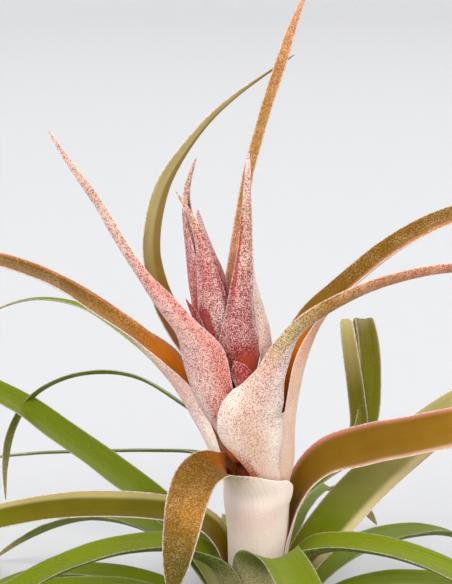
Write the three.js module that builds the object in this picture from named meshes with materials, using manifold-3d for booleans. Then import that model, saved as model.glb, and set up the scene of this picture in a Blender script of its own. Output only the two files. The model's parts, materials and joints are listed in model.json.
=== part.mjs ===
// Heather blush air plant: a flowering rosette plant that stands on its stub and its lowest leaves.
// Millimetres, +Z up, +X to the right in the photo, +Y away from the viewer.
// The origin is the centre of the flat foot of the stem stub.

import * as THREE from 'three';
import { mergeVertices } from 'three/addons/utils/BufferGeometryUtils.js';
import Module from 'manifold-3d';

// Driving dimensions
const GAP = 0.3;               // clearance between pieces that touch on the real plant
const EDGE = 0.6;              // thickness of a leaf at its margins
const MIDRIB = 1.0;            // thickness of a leaf along its middle
const FORK_HEIGHT = 92;        // the stem divides into the two spikes of the head here
const LEAN = 7;                // sideways lean of the stem at the fork
const LEAN_START = 45;         // height where the lean begins
const SPIKE_AXIS = 1.3;        // radius of the axis inside each spike of the head
const TIGHTEST = 1.3;          // smallest radius that a leaf is rolled to
const SMALLEST_CUT = 0.002;    // overlap in cubic millimetres that calls for a cut

// Stem radius against height, the flat foot first
const STEM_RADIUS = [[0, 8.5], [6, 8], [24, 6.8], [44, 5.4], [60, 4.4], [78, 3.2], [92, 2.2]];

// Colours
const COLOUR = {
  stub: 0x6b4a33,
  coral: 0xc8604e,
  mauve: 0xb86a72,
  salmon: 0xd08a78,
  cream: 0xd9a890,
  orange: 0xb8702c,
  golden: 0xa87a24,
  olive: 0x86661a,
  green: 0x7d8426,
};

const radians = THREE.MathUtils.degToRad;

// Smooth curve through the keys [place, value], flat at its peaks.
function profile(keys, s) {
  const last = keys.length - 1;
  if (s <= keys[0][0]) return keys[0][1];
  if (s >= keys[last][0]) return keys[last][1];
  const chord = (i) => (keys[i + 1][1] - keys[i][1]) / (keys[i + 1][0] - keys[i][0]);
  const slope = (i) => {
    if (i === 0) return chord(0);
    if (i === last) return chord(last - 1);
    const before = chord(i - 1);
    const after = chord(i);
    return before * after <= 0 ? 0 : (2 * before * after) / (before + after);
  };
  let i = 0;
  while (s > keys[i + 1][0]) i += 1;
  const span = keys[i + 1][0] - keys[i][0];
  const t = (s - keys[i][0]) / span;
  const rise = keys[i + 1][1] - keys[i][1];
  const a = slope(i) * span;
  const b = slope(i + 1) * span;
  return keys[i][1] + t * (a + t * ((3 * rise - 2 * a - b) + t * (a + b - 2 * rise)));
}

// Sideways place of the stem's axis at a height.
function lean(z) {
  const t = Math.max(0, (z - LEAN_START) / (FORK_HEIGHT - LEAN_START));
  return -LEAN * t ** 1.7;
}

// Unit vector from one compass angle, 0 to the right and -90 towards the viewer.
function compass(degrees) {
  return new THREE.Vector3(Math.cos(radians(degrees)), Math.sin(radians(degrees)), 0);
}

// Inner side of a leaf at s, squared to its direction.
function innerSide(faces, s, tangent) {
  const part = (k) => profile(faces.map(([place, vector]) => [place, vector[k]]), s);
  const inner = new THREE.Vector3(part(0), part(1), part(2));
  return inner.addScaledVector(tangent, -inner.dot(tangent)).normalize();
}

// A channelled leaf or bract: a curved section carried along a spine.
//   spine   points of the outer midrib, base first
//   faces   keys [place, direction] of the inner side
//   width   keys of the half width, measured round the section
//   arc     keys of the angle that the section spans, in degrees
// grow thickens the leaf all round, for the clearance cut in a neighbour.
function leafGeometry({ spine, faces, width, arc, across = 6, stations = 14 }, grow = 0) {
  const curve = new THREE.CatmullRomCurve3(spine.map((p) => new THREE.Vector3(...p)), false, 'centripetal');
  const columns = across + 1;
  const outer = [];
  const inner = [];
  for (let i = 0; i <= stations; i += 1) {
    const s = (i / stations) ** 1.2;
    const tangent = curve.getTangentAt(s);
    const middle = curve.getPointAt(s);
    if (i === 0) middle.addScaledVector(tangent, -grow);
    if (i === stations) middle.addScaledVector(tangent, grow);
    const normal = innerSide(faces, s, tangent);
    const side = new THREE.Vector3().crossVectors(tangent, normal);
    const half = profile(width, s);
    const angle = Math.min(radians(profile(arc, s)), (2 * half) / TIGHTEST);
    const radius = (2 * half) / angle;
    const centre = middle.clone().addScaledVector(normal, radius);
    for (let j = 0; j < columns; j += 1) {
      const v = (2 * j) / across - 1;
      const turn = v * (angle / 2) * (1 + grow / half);
      const inward = normal.clone().multiplyScalar(Math.cos(turn)).addScaledVector(side, -Math.sin(turn));
      const thick = EDGE + (MIDRIB - EDGE) * (1 - v * v) * Math.min(1, half / 2);
      outer.push(centre.clone().addScaledVector(inward, -(radius + grow)));
      inner.push(centre.clone().addScaledVector(inward, -(radius - thick - grow)));
    }
  }
  return closedSheet(outer, inner, columns);
}

// Closed solid between two like grids of points, the rows running from the base to the tip.
function closedSheet(outer, inner, columns) {
  const shift = outer.length;
  const last = shift - columns;
  const index = [];
  const quad = (a, b, c, d) => index.push(a, c, b, a, d, c);
  for (let row = 0; row < last; row += columns) {
    for (let j = row; j < row + columns - 1; j += 1) {
      quad(j, j + 1, j + columns + 1, j + columns);
      index.push(shift + j, shift + j + 1, shift + j + columns + 1);
      index.push(shift + j, shift + j + columns + 1, shift + j + columns);
    }
    const end = row + columns - 1;
    quad(row, row + columns, shift + row + columns, shift + row);
    quad(end, shift + end, shift + end + columns, end + columns);
  }
  for (let j = 0; j < columns - 1; j += 1) {
    quad(j, shift + j, shift + j + 1, j + 1);
    quad(last + j, last + j + 1, shift + last + j + 1, shift + last + j);
  }
  const geometry = new THREE.BufferGeometry();
  const places = [...outer, ...inner].flatMap((point) => point.toArray());
  geometry.setAttribute('position', new THREE.Float32BufferAttribute(places, 3));
  geometry.setIndex(index);
  return geometry;
}

// Spine of a rosette leaf: it leaves the stub at a steep angle and arches over.
//   angle   compass angle of its base
//   tilt    keys of its angle from the vertical, in degrees
//   swing   sideways bend over its length, in degrees
//   end     height of its tip
function archSpine({ angle, height, length, tilt, swing, end }) {
  const steps = 48;
  const start = profile(STEM_RADIUS, height) + GAP + MIDRIB;
  const place = compass(angle).multiplyScalar(start).setZ(height);
  const points = [place.clone()];
  for (let i = 0; i < steps; i += 1) {
    const s = (i + 0.5) / steps;
    const lay = radians(profile(tilt, s));
    const step = compass(angle + swing * s * s).multiplyScalar(Math.sin(lay)).setZ(Math.cos(lay));
    place.addScaledVector(step, length / steps);
    if ((i + 1) % 6 === 0) points.push(place.clone());
  }
  const drop = place.z - end;
  points.forEach((point, i) => point.setZ(point.z - drop * (i / (points.length - 1)) ** 2));
  return points;
}

// Inner side of an arching leaf: square to its direction and turned up.
function archFaces(spine) {
  const curve = new THREE.CatmullRomCurve3(spine, false, 'centripetal');
  return [0, 0.2, 0.4, 0.6, 0.8, 1].map((s) => {
    const t = curve.getTangentAt(s);
    const flat = new THREE.Vector3(t.x, t.y, 0).normalize();
    const side = new THREE.Vector3(flat.y, -flat.x, 0);
    return [s, new THREE.Vector3().crossVectors(side, t).toArray()];
  });
}

// Bracts of the head, those in front first.
const HEAD = {
  bract_right_spike_front: {
    colour: 'mauve',
    spine: [[-3.2, -4.6, 84], [-3.7, -6.4, 90], [-4, -7.4, 96], [-4.1, -7.4, 103], [-3.75, -6.4, 110],
      [-3.4, -5, 117], [-3, -3.8, 124], [-2.8, -2.4, 132], [-2.4, -1, 142]],
    faces: [[0, [-0.3, 1, 0]], [0.4, [-0.25, 1, 0]], [0.6, [0, 1, 0]], [1, [0, 1, 0]]],
    width: [[0, 4.4], [0.14, 6.5], [0.33, 4.4], [0.57, 2.3], [0.83, 1.1], [1, 0.3]],
    arc: [[0, 110], [0.4, 115], [1, 90]],
  },
  bract_left_spike_front: {
    colour: 'coral',
    spine: [[-8.2, -3.4, 87], [-9.7, -4.7, 94], [-11.1, -5.4, 101], [-12.3, -5.6, 108], [-13.4, -5.2, 115],
      [-14.6, -4.6, 120.4], [-16.4, -4, 125.2], [-18.3, -3.6, 129.1], [-20.4, -3.4, 132.4]],
    faces: [[0, [0.2, 1, 0]], [1, [0.2, 1, 0]]],
    width: [[0, 3.2], [0.26, 4.7], [0.42, 4.1], [0.64, 2], [0.85, 0.85], [1, 0.25]],
    arc: [[0, 110], [0.4, 110], [1, 70]],
  },
  bract_left_spike_keeled: {
    colour: 'coral',
    spine: [[-11.6, 0, 87], [-13.8, -0.4, 94], [-15.8, -0.8, 101], [-17, -1.4, 109], [-17.7, -1.8, 117],
      [-18.4, -2, 123.5], [-18.8, -2, 128]],
    faces: [[0, [1, 0.1, 0]], [0.3, [1, 0.3, 0]], [0.5, [0.85, 0.5, 0]], [1, [0.8, 0.6, 0]]],
    width: [[0, 3], [0.3, 3.9], [0.65, 2.8], [0.88, 1.2], [1, 0.3]],
    arc: [[0, 120], [0.6, 110], [1, 70]],
  },
  bract_left_spike_right: {
    colour: 'coral',
    spine: [[-6, 1, 89], [-6.4, 1, 96], [-7.2, 1, 103], [-8.9, 0.8, 110], [-11.2, 0.4, 115.6],
      [-13.3, 0, 121.4], [-15.1, -0.2, 127.2]],
    faces: [[0, [-1, 0.1, 0]], [0.4, [-0.9, 0.5, 0]], [1, [-0.8, 0.6, 0]]],
    width: [[0, 2.6], [0.3, 3.4], [0.7, 2], [0.92, 1.1], [1, 0.75]],
    arc: [[0, 120], [0.6, 110], [1, 70]],
  },
  bract_left_spike_back: {
    colour: 'coral',
    spine: [[-10, 4, 88], [-11.8, 4.6, 95], [-13.6, 4.6, 102], [-15.2, 4.2, 111], [-16.7, 3.2, 119],
      [-17.7, 1.9, 126.4], [-17.9, 1, 130.4], [-17.2, 0.3, 134.6], [-15.3, -0.2, 140.2]],
    faces: [[0, [0.1, -1, 0]], [0.8, [0.3, -1, 0]], [1, [0.3, -1, 0.3]]],
    width: [[0, 3], [0.25, 3.9], [0.5, 2.9], [0.73, 1.5], [0.88, 0.85], [1, 0.3]],
    arc: [[0, 120], [0.6, 120], [1, 80]],
  },
  bract_right_spike_outer: {
    colour: 'mauve',
    spine: [[2, -0.4, 85], [3.5, -0.6, 90], [3.1, -0.8, 96], [1.5, -0.8, 102], [-0.2, -0.6, 108],
      [-1.3, -0.2, 114], [-2, 0.4, 120]],
    faces: [[0, [-1, 0.3, 0]], [1, [-1, 0.3, 0]]],
    width: [[0, 3.4], [0.25, 4.6], [0.6, 2.8], [1, 0.3]],
    arc: [[0, 120], [0.6, 110], [1, 80]],
  },
  bract_right_spike_back: {
    colour: 'mauve',
    spine: [[-3.6, 5, 86], [-3.6, 5.8, 92], [-3.4, 5.6, 99], [-3.2, 4.8, 107], [-3, 3.8, 115],
      [-2.8, 2.8, 123], [-2.6, 2, 130]],
    faces: [[0, [0, -1, 0]], [1, [0, -1, 0]]],
    width: [[0, 3], [0.3, 4.2], [0.6, 2.6], [1, 0.3]],
    arc: [[0, 120], [0.6, 120], [1, 80]],
  },
  bud_coral: {
    colour: 'coral',
    spine: [[-0.8, -9.6, 79], [-2.4, -10.4, 83.5], [-4.3, -10.4, 87.6], [-6, -10, 91.2]],
    faces: [[0, [0, 1, 0]], [1, [0, 1, 0]]],
    width: [[0, 2.2], [0.45, 3.1], [0.78, 2.4], [1, 0.4]],
    arc: [[0, 120], [1, 80]],
    stations: 7,
    across: 4,
  },
  bud_dark: {
    colour: 'mauve',
    spine: [[-13, -4.9, 92], [-14.8, -4.9, 97.6], [-16.4, -4.5, 102], [-18, -4.1, 105.4]],
    faces: [[0, [0.6, 0.8, 0]], [1, [0.6, 0.8, 0]]],
    width: [[0, 1.4], [0.5, 1.6], [1, 0.3]],
    arc: [[0, 120], [1, 80]],
    stations: 7,
    across: 4,
  },
};

// Leaves of the flower stem, the visible ones first.
const STEM_LEAVES = {
  leaf_front: {
    colour: 'cream',
    spine: [[3.3, -6.8, 57], [1.9, -8.8, 62], [0.5, -10.6, 68], [-1.4, -12.4, 76.5], [0.8, -13, 82],
      [2.9, -13.6, 87.4], [5.9, -14, 94.2], [11.2, -14, 100.6], [20.6, -13, 106.2], [32.1, -11, 110.6],
      [47.6, -7, 112.7], [64, -2, 110], [79, 3, 104]],
    faces: [[0, [-0.2, 1, 0]], [0.3, [-0.1, 1, 0.1]], [0.38, [-0.2, 0.75, 0.6]], [0.6, [-0.2, 0.45, 0.86]],
      [1, [0.3, 0.3, 0.9]]],
    width: [[0, 3.2], [0.05, 4.6], [0.145, 10], [0.2, 7.9], [0.29, 3.8], [0.36, 3.2], [0.5, 3.8],
      [0.8, 3], [1, 0.4]],
    arc: [[0, 60], [0.12, 104], [0.25, 90], [0.4, 130], [1, 110]],
    stations: 17,
  },
  leaf_curled: {
    colour: 'golden',
    spine: [[-5.3, -5.3, 34], [-5.3, -5.3, 40], [-5.5, -5.5, 44], [-6, -6.2, 49.4], [-6.6, -7, 55.4],
      [-8.2, -9, 60.2], [-11.4, -12.2, 62.8], [-14.8, -15.8, 62], [-17, -18.6, 57.5], [-18.6, -21.4, 50],
      [-20, -24, 42], [-21.6, -26.8, 34]],
    faces: [[0, [0.7, 0.7, 0]], [0.28, [0.72, 0.68, 0]], [0.34, [0.74, 0.5, 0.45]], [0.46, [0, -0.4, 0.9]],
      [0.6, [-0.3, -0.9, 0.4]], [1, [-0.4, -0.9, 0]]],
    width: [[0, 15.4], [0.22, 20], [0.275, 21.1], [0.3, 18.6], [0.33, 15], [0.37, 11], [0.43, 6.8],
      [0.64, 5.9], [0.86, 4], [1, 0.4]],
    arc: [[0, 236], [0.22, 270], [0.275, 268], [0.3, 238], [0.33, 200], [0.37, 160], [0.46, 100], [1, 70]],
    across: 10,
    stations: 17,
  },
  leaf_salmon: {
    colour: 'salmon',
    spine: [[-5.4, -4.3, 62.5], [-7, -4.6, 66], [-9.6, -7, 73], [-13.2, -8.8, 82], [-15.8, -9.4, 93],
      [-21, -9, 102], [-27.2, -7.8, 109.8], [-33.6, -5.4, 119], [-39.6, -3, 129], [-47.6, 1, 139.8],
      [-52, 3, 146.6]],
    faces: [[0, [0.72, 0.69, 0]], [0.37, [0.5, 0.86, 0]], [1, [0.2, 0.95, 0.1]]],
    width: [[0, 3.8], [0.04, 5.6], [0.17, 7.2], [0.3, 7.7], [0.4, 4.2], [0.5, 2.8], [0.585, 1.8],
      [0.81, 1.3], [1, 0.3]],
    arc: [[0, 90], [0.04, 96], [0.23, 102], [0.52, 100], [1, 60]],
  },
  leaf_right: {
    colour: 'olive',
    spine: [[6.6, 0, 51], [8.2, 0, 56], [9.4, 0.2, 62], [9.6, 0.6, 69.5], [10.4, 2, 78], [12.4, 4.4, 88.5],
      [16.8, 7.6, 98], [28.9, 13, 109], [39.5, 18, 115.6], [50.9, 24, 119.8], [66, 32, 121], [82, 40, 117]],
    faces: [[0, [-1, 0.2, 0]], [0.09, [-1, 0.2, 0]], [0.14, [-1, 0.05, 0]], [0.2, [-1, -0.15, 0.04]],
      [0.25, [-1, -0.28, 0.08]], [0.3, [-0.95, -0.36, 0.12]], [0.38, [-0.9, -0.42, 0.3]],
      [0.46, [-0.75, -0.45, 0.5]], [0.6, [-0.4, -0.5, 0.8]], [1, [0, -0.4, 0.9]]],
    width: [[0, 5.2], [0.06, 7], [0.15, 8], [0.29, 9.2], [0.36, 7.2], [0.45, 4.9], [0.8, 3.4], [1, 0.4]],
    arc: [[0, 105], [0.15, 118], [0.29, 154], [0.36, 136], [0.5, 110], [1, 80]],
    stations: 16,
  },
  leaf_left: {
    colour: 'golden',
    spine: [[-6.5, 0.6, 55], [-8.4, 0.8, 58.6], [-11.4, 0.8, 62.4], [-14, 1.5, 67.5], [-19, 3.6, 76.5],
      [-24.2, 5.6, 84], [-30.4, 7, 91], [-37.6, 8, 97], [-47.4, 8, 104], [-57.6, 7, 109.5], [-68, 5, 113],
      [-84, 0, 114], [-99, -6, 109]],
    faces: [[0, [1, 0.1, 0]], [0.12, [1, 0, 0.1]], [0.2, [0.85, 0.08, 0.5]], [0.3, [0.7, -0.24, 0.62]],
      [0.4, [0.56, -0.36, 0.67]], [0.5, [0.5, -0.5, 0.7]], [1, [0, -0.4, 0.9]]],
    width: [[0, 3.6], [0.13, 7.2], [0.28, 7.5], [0.37, 4.6], [0.5, 3.4], [0.8, 2.4], [1, 0.4]],
    arc: [[0, 84], [0.12, 125], [0.2, 150], [0.3, 150], [0.42, 105], [1, 70]],
  },
  leaf_behind_head: {
    colour: 'orange',
    spine: [[-3.2, 4.8, 74], [-5, 7, 84], [-6, 9.4, 94.2], [-6, 10.8, 104.2], [-5.1, 12, 115.5],
      [-4, 13, 123.7], [-2.2, 15, 133.7], [0.1, 17, 142.1], [2.7, 20, 150.6], [5.6, 23, 159.1],
      [9.3, 27, 169.6], [13.2, 31, 179.3]],
    faces: [[0, [0, -1, 0]], [1, [-0.2, -1, 0.3]]],
    width: [[0, 3.6], [0.16, 3.8], [0.36, 2.1], [0.5, 1.65], [0.82, 1.6], [1, 0.3]],
    arc: [[0, 100], [0.5, 80], [1, 60]],
  },
  leaf_back_left: {
    colour: 'olive',
    spine: [[-5.6, 4.6, 62], [-8.4, 6.6, 70], [-11.6, 9, 79], [-17, 12, 86], [-22.6, 16, 93],
      [-26.8, 20, 102], [-28.6, 24, 111.3], [-27.4, 27, 120.8], [-24, 29, 130], [-14, 31, 143.4],
      [-5.7, 31, 151], [9.8, 29, 162]],
    faces: [[0, [0.75, -0.65, 0]], [0.5, [0.8, -0.55, 0.2]], [1, [0.5, -0.6, -0.6]]],
    width: [[0, 3.6], [0.2, 5.8], [0.38, 4.9], [0.55, 3.6], [0.75, 1.6], [1, 0.3]],
    arc: [[0, 90], [0.5, 80], [1, 50]],
  },
};

// Leaves of the rosette that the picture shows.
const ROSETTE_LEAVES = {
  leaf_lower_right: {
    colour: 'olive',
    spine: [[7.4, 0.4, 30], [7.9, 0.6, 36], [8.9, 1.4, 42.3], [10.8, 2.6, 49.6], [13.8, 3.8, 55],
      [18.9, 5.6, 59.4], [29.5, 9, 62], [40.1, 12, 63], [51.4, 15, 64.6], [64.5, 20, 65.4],
      [81.1, 24, 63], [98, 28, 56]],
    faces: [[0, [-1, 0, 0]], [0.2, [-0.9, -0.4, 0.2]], [0.4, [-0.3, -0.75, 0.66]], [1, [0, -0.7, 0.7]]],
    width: [[0, 4.6], [0.3, 6.8], [0.7, 6], [0.9, 3], [1, 0.4]],
    arc: [[0, 70], [0.4, 95], [1, 70]],
  },
  leaf_behind_lower_right: {
    colour: 'olive',
    spine: [[6.6, 4, 19], [8.6, 5, 23], [11, 6.6, 27.4], [14, 8.6, 32.4], [19.6, 12, 38.4],
      [27, 16.6, 45.6], [36.4, 22, 53], [47, 28, 60], [59.6, 35, 66.4], [74, 42, 70], [91, 49, 69],
      [107, 56, 62]],
    faces: [[0, [-0.87, -0.5, 0]], [0.2, [-0.5, -0.85, 0.4]], [0.5, [-0.3, -0.8, 0.5]],
      [1, [0, -0.5, 0.8]]],
    width: [[0, 4.4], [0.25, 7], [0.5, 6.6], [0.7, 5], [0.9, 2.8], [1, 0.4]],
    arc: [[0, 70], [0.4, 95], [1, 70]],
  },
  leaf_lower_left: {
    colour: 'olive',
    spine: [[-7.2, 2.4, 28], [-8, 3.2, 33], [-10, 4.4, 38], [-13.8, 6, 41.8], [-24, 9, 44.1],
      [-35.9, 11, 44.5], [-47.8, 12, 44.1], [-59.5, 11, 43], [-72.4, 8, 41], [-85, 4, 36.6],
      [-97, 0, 28]],
    faces: [[0, [0.93, -0.36, 0]], [0.25, [0.4, -0.5, 0.8]], [1, [-0.1, -0.5, 0.85]]],
    width: [[0, 4.4], [0.3, 5.2], [0.7, 4.4], [0.9, 2.6], [1, 0.4]],
    arc: [[0, 70], [0.4, 95], [1, 70]],
  },
  leaf_green_left: {
    colour: 'green',
    spine: [[-4.6, 6.2, 14], [-8.3, 11.4, 20], [-15, 20, 28.5], [-26.1, 33, 36], [-40.5, 46, 43],
      [-55.2, 57, 50], [-67.2, 65, 56], [-82.6, 74, 60.8], [-98, 82, 61.6], [-112, 89, 57],
      [-122, 94, 50]],
    faces: [[0, [0.65, -0.75, 0]], [0.3, [0.3, -0.6, 0.75]], [1, [0, -0.4, 0.9]]],
    width: [[0, 4.4], [0.3, 5.4], [0.5, 5], [0.7, 3.8], [0.9, 2.4], [1, 0.4]],
    arc: [[0, 70], [0.4, 95], [1, 70]],
  },
  leaf_arching_left: {
    colour: 'green',
    spine: [[-5.2, 6.2, 34], [-5.8, 7.2, 42], [-7, 9.8, 50], [-9.4, 14, 59.2], [-14.9, 21, 65.8],
      [-20.6, 28, 68.1], [-32.2, 43, 70.4], [-42, 52, 69.4], [-53.4, 60, 65.4], [-63.3, 66, 58.1],
      [-69.7, 70, 47.1], [-72.3, 72, 35.7], [-73, 73, 24.5]],
    faces: [[0, [0.7, -0.7, 0]], [0.4, [0.5, 0.3, 0.85]], [0.7, [-0.3, 0.3, 0.9]], [1, [-0.8, 0.3, 0.2]]],
    width: [[0, 3.6], [0.3, 2.2], [0.65, 2.2], [0.85, 2.6], [1, 0.4]],
    arc: [[0, 60], [0.4, 80], [1, 60]],
  },
  leaf_upright_right: {
    colour: 'green',
    spine: [[4.4, 6.4, 30], [6, 9, 38], [9.4, 13.6, 44], [17.6, 30, 45.3], [25.3, 46, 44.9],
      [30.9, 60, 47.4], [33.8, 70, 54.8], [34.5, 78, 63], [34, 86, 69.9], [33.3, 94, 73.3],
      [33.1, 103, 68.4], [33.4, 109, 57.2], [34.1, 112, 43.4]],
    faces: [[0, [-0.5, -0.85, 0]], [0.3, [-0.2, -0.3, 0.9]], [0.55, [-0.2, -0.9, 0.4]],
      [0.75, [0, -0.3, 0.9]], [1, [0, 1, 0]]],
    width: [[0, 3.6], [0.3, 3], [0.5, 3.6], [0.7, 3.2], [0.9, 2.4], [1, 0.4]],
    arc: [[0, 60], [0.4, 90], [1, 70]],
  },
  leaf_upright_behind: {
    colour: 'green',
    spine: [[3, 6.6, 34], [4.6, 9.6, 43], [8.6, 16, 47], [17.2, 34, 46.4], [27, 52, 46], [30.4, 64, 49.7],
      [30, 72, 57.2], [29, 80, 64.9], [28.2, 88, 70.9], [28, 96, 72.8], [28, 103, 71]],
    faces: [[0, [-0.4, -0.9, 0]], [0.3, [-0.2, -0.3, 0.9]], [0.7, [-0.2, -0.9, 0.4]], [1, [0, 0.3, 0.9]]],
    width: [[0, 3], [0.3, 2.4], [0.55, 3], [0.7, 2.8], [0.9, 2.2], [1, 0.4]],
    arc: [[0, 60], [0.4, 90], [1, 70]],
  },
  leaf_level_left: {
    colour: 'green',
    spine: [[-1.6, 7.6, 31], [-2, 10, 40], [-4, 15, 48], [-8.6, 23, 51.6], [-15.1, 36, 51],
      [-29.5, 54, 45.8], [-47.8, 72, 39.4], [-67.1, 88, 33.4], [-83.7, 99, 27.4], [-97, 106, 19]],
    faces: [[0, [0.2, -1, 0]], [0.3, [0.1, 0.2, 0.95]], [1, [0, 0.2, 0.95]]],
    width: [[0, 3.4], [0.3, 2.2], [0.7, 2], [1, 0.4]],
    arc: [[0, 56], [0.4, 80], [1, 60]],
  },
  leaf_far_left: {
    colour: 'green',
    spine: [[1, 7, 38], [0, 11, 46], [-3, 19, 53.4], [-9, 32, 58], [-15.2, 45, 61], [-27, 68, 67.4],
      [-39.3, 85, 73], [-51.9, 97, 77.2], [-66, 106, 77], [-79, 112, 72], [-89, 116, 64]],
    faces: [[0, [0, -1, 0]], [0.3, [0.1, -0.1, 0.9]], [1, [0, 0, 1]]],
    width: [[0, 3.4], [0.3, 2.6], [0.7, 2], [1, 0.4]],
    arc: [[0, 56], [0.4, 80], [1, 60]],
  },
};

// Short leaves low on the stem that the picture cuts off. Their tips hang free.
const SKIRT = {
  angles: [-26, -78, 197],
  heights: [24, 25.5, 22.5],
  length: 96,
  end: 16,
  swing: 10,
  tilt: [[0, 9], [0.1, 26], [0.22, 66], [0.45, 90], [0.75, 106], [1, 116]],
  width: [[0, 8], [0.12, 9.5], [0.25, 6.8], [0.6, 5.6], [0.88, 3], [1, 0.4]],
  arc: [[0, 124], [0.12, 116], [0.3, 96], [1, 70]],
};

// Lowest leaves, placed by the golden angle. Their tips rest on the ground.
const RING = {
  count: 13,
  firstAngle: -62,
  turn: 137.5,
  top: 17,
  fall: 0.95,
  longest: 126,
  shortest: 98,
  swing: 14,
  tilt: [[0, 30], [0.12, 56], [0.3, 80], [0.55, 94], [0.8, 106], [1, 112]],
  width: [[0, 5], [0.3, 6], [0.7, 5], [0.9, 2.7], [1, 0.4]],
  arc: [[0, 74], [0.25, 95], [0.6, 100], [1, 70]],
};

// The same leaves with a like number of columns and stations, where they state none.
function withDetail(group, across, stations) {
  const pairs = Object.entries(group).map(([name, leaf]) => [name, { across, stations, ...leaf }]);
  return Object.fromEntries(pairs);
}

function archLeaf(group, colour, placing) {
  const spine = archSpine({ tilt: group.tilt, ...placing });
  const shape = { faces: archFaces(spine), width: group.width, arc: group.arc };
  return { colour, spine: spine.map((point) => point.toArray()), ...shape, across: 4, stations: 11 };
}

function skirtLeaf(k) {
  const placing = { angle: SKIRT.angles[k], height: SKIRT.heights[k], length: SKIRT.length };
  return archLeaf(SKIRT, 'olive', { ...placing, swing: SKIRT.swing, end: SKIRT.end });
}

function ringLeaf(k) {
  const placing = { angle: RING.firstAngle + RING.turn * k, height: RING.top - RING.fall * k, end: 0 };
  const length = THREE.MathUtils.lerp(RING.longest, RING.shortest, k / (RING.count - 1));
  return archLeaf(RING, 'green', { ...placing, length, swing: k % 2 === 0 ? RING.swing : -RING.swing });
}

const wasm = await Module();
wasm.setup();

// Closed solid of a geometry, for cuts and joins.
function solidOf(geometry) {
  const bare = geometry.clone();
  bare.deleteAttribute('normal');
  bare.deleteAttribute('uv');
  const merged = mergeVertices(bare, 1e-4);
  const vertProperties = new Float32Array(merged.attributes.position.array);
  const triVerts = new Uint32Array(merged.index.array);
  return new wasm.Manifold(new wasm.Mesh({ numProp: 3, vertProperties, triVerts }));
}

function geometryOf(solid) {
  const mesh = solid.getMesh();
  const geometry = new THREE.BufferGeometry();
  geometry.setAttribute('position', new THREE.BufferAttribute(mesh.vertProperties, 3));
  geometry.setIndex(new THREE.BufferAttribute(mesh.triVerts, 1));
  return geometry;
}

// Round rod along a path, for the axis inside a spike.
function rodGeometry(points, radius) {
  const path = new THREE.CatmullRomCurve3(points.map((p) => new THREE.Vector3(...p)));
  const section = new THREE.Shape().absarc(0, 0, radius, 0, 2 * Math.PI);
  return new THREE.ExtrudeGeometry(section, { extrudePath: path, steps: 5, curveSegments: 8 });
}

// The stem, which leans as it rises and forks into the axes of the two spikes.
function stemSolid(grow = 0) {
  const outline = STEM_RADIUS.map(([z, r]) => new THREE.Vector2(r + grow, z));
  const profileLine = [new THREE.Vector2(0, 0), ...outline, new THREE.Vector2(0, FORK_HEIGHT + 2 + grow)];
  const trunk = new THREE.LatheGeometry(profileLine, 14).rotateX(Math.PI / 2);
  const place = trunk.attributes.position;
  for (let i = 0; i < place.count; i += 1) place.setX(i, place.getX(i) + lean(place.getZ(i)));
  const left = rodGeometry([[-6.6, 0, 86], [-9.4, 0, 95], [-12, 0, 103], [-14, 0, 110]], SPIKE_AXIS + grow);
  const rightAxis = [[-6, 0, 86], [-4.4, -0.9, 94], [-4, -1.5, 101], [-4, -1.8, 107]];
  const right = rodGeometry(rightAxis, SPIKE_AXIS + grow);
  return solidOf(trunk).add(solidOf(left)).add(solidOf(right));
}

// Every leaf and bract by name, in the order in which they are kept whole.
const leaves = { ...withDetail(HEAD, 6, 10), ...STEM_LEAVES, ...withDetail(ROSETTE_LEAVES, 4, 14) };
SKIRT.angles.forEach((angle, k) => { leaves[`leaf_skirt_${k + 1}`] = skirtLeaf(k); });
for (let k = 0; k < RING.count; k += 1) leaves[`leaf_ring_${k + 1}`] = ringLeaf(k);

const plant = new THREE.Group();

function add(name, colour, geometry) {
  const material = new THREE.MeshStandardMaterial({ color: COLOUR[colour], roughness: 0.75, metalness: 0 });
  const mesh = new THREE.Mesh(geometry, material);
  mesh.name = name;
  plant.add(mesh);
}

// Cuts a piece clear of the pieces placed before it, and keeps its largest body.
function clearOf(solid, placed) {
  let result = solid;
  for (const { whole, grown } of placed) {
    if (result.intersect(whole).volume() > SMALLEST_CUT) result = result.subtract(grown);
  }
  const bodies = result.decompose().sort((a, b) => b.volume() - a.volume());
  return bodies[0];
}

const stem = stemSolid();
add('stem', 'stub', geometryOf(stem));
const placed = [{ whole: stem, grown: stemSolid(GAP) }];
for (const [name, leaf] of Object.entries(leaves)) {
  const geometry = leafGeometry(leaf);
  const whole = solidOf(geometry);
  const solid = clearOf(whole, placed);
  add(name, leaf.colour, solid === whole ? geometry : geometryOf(solid));
  placed.push({ whole, grown: solidOf(leafGeometry(leaf, GAP)) });
}

export default plant;
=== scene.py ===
"""Heather blush air plant: the fine leaves, bracts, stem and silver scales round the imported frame.

Run as a script in Blender 4.5. Lengths in the tables are millimetres, in the frame's own axes:
+X to the right in the photo, +Y away from the viewer, +Z up, origin at the foot of the stem stub.
"""

import json
import math

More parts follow.
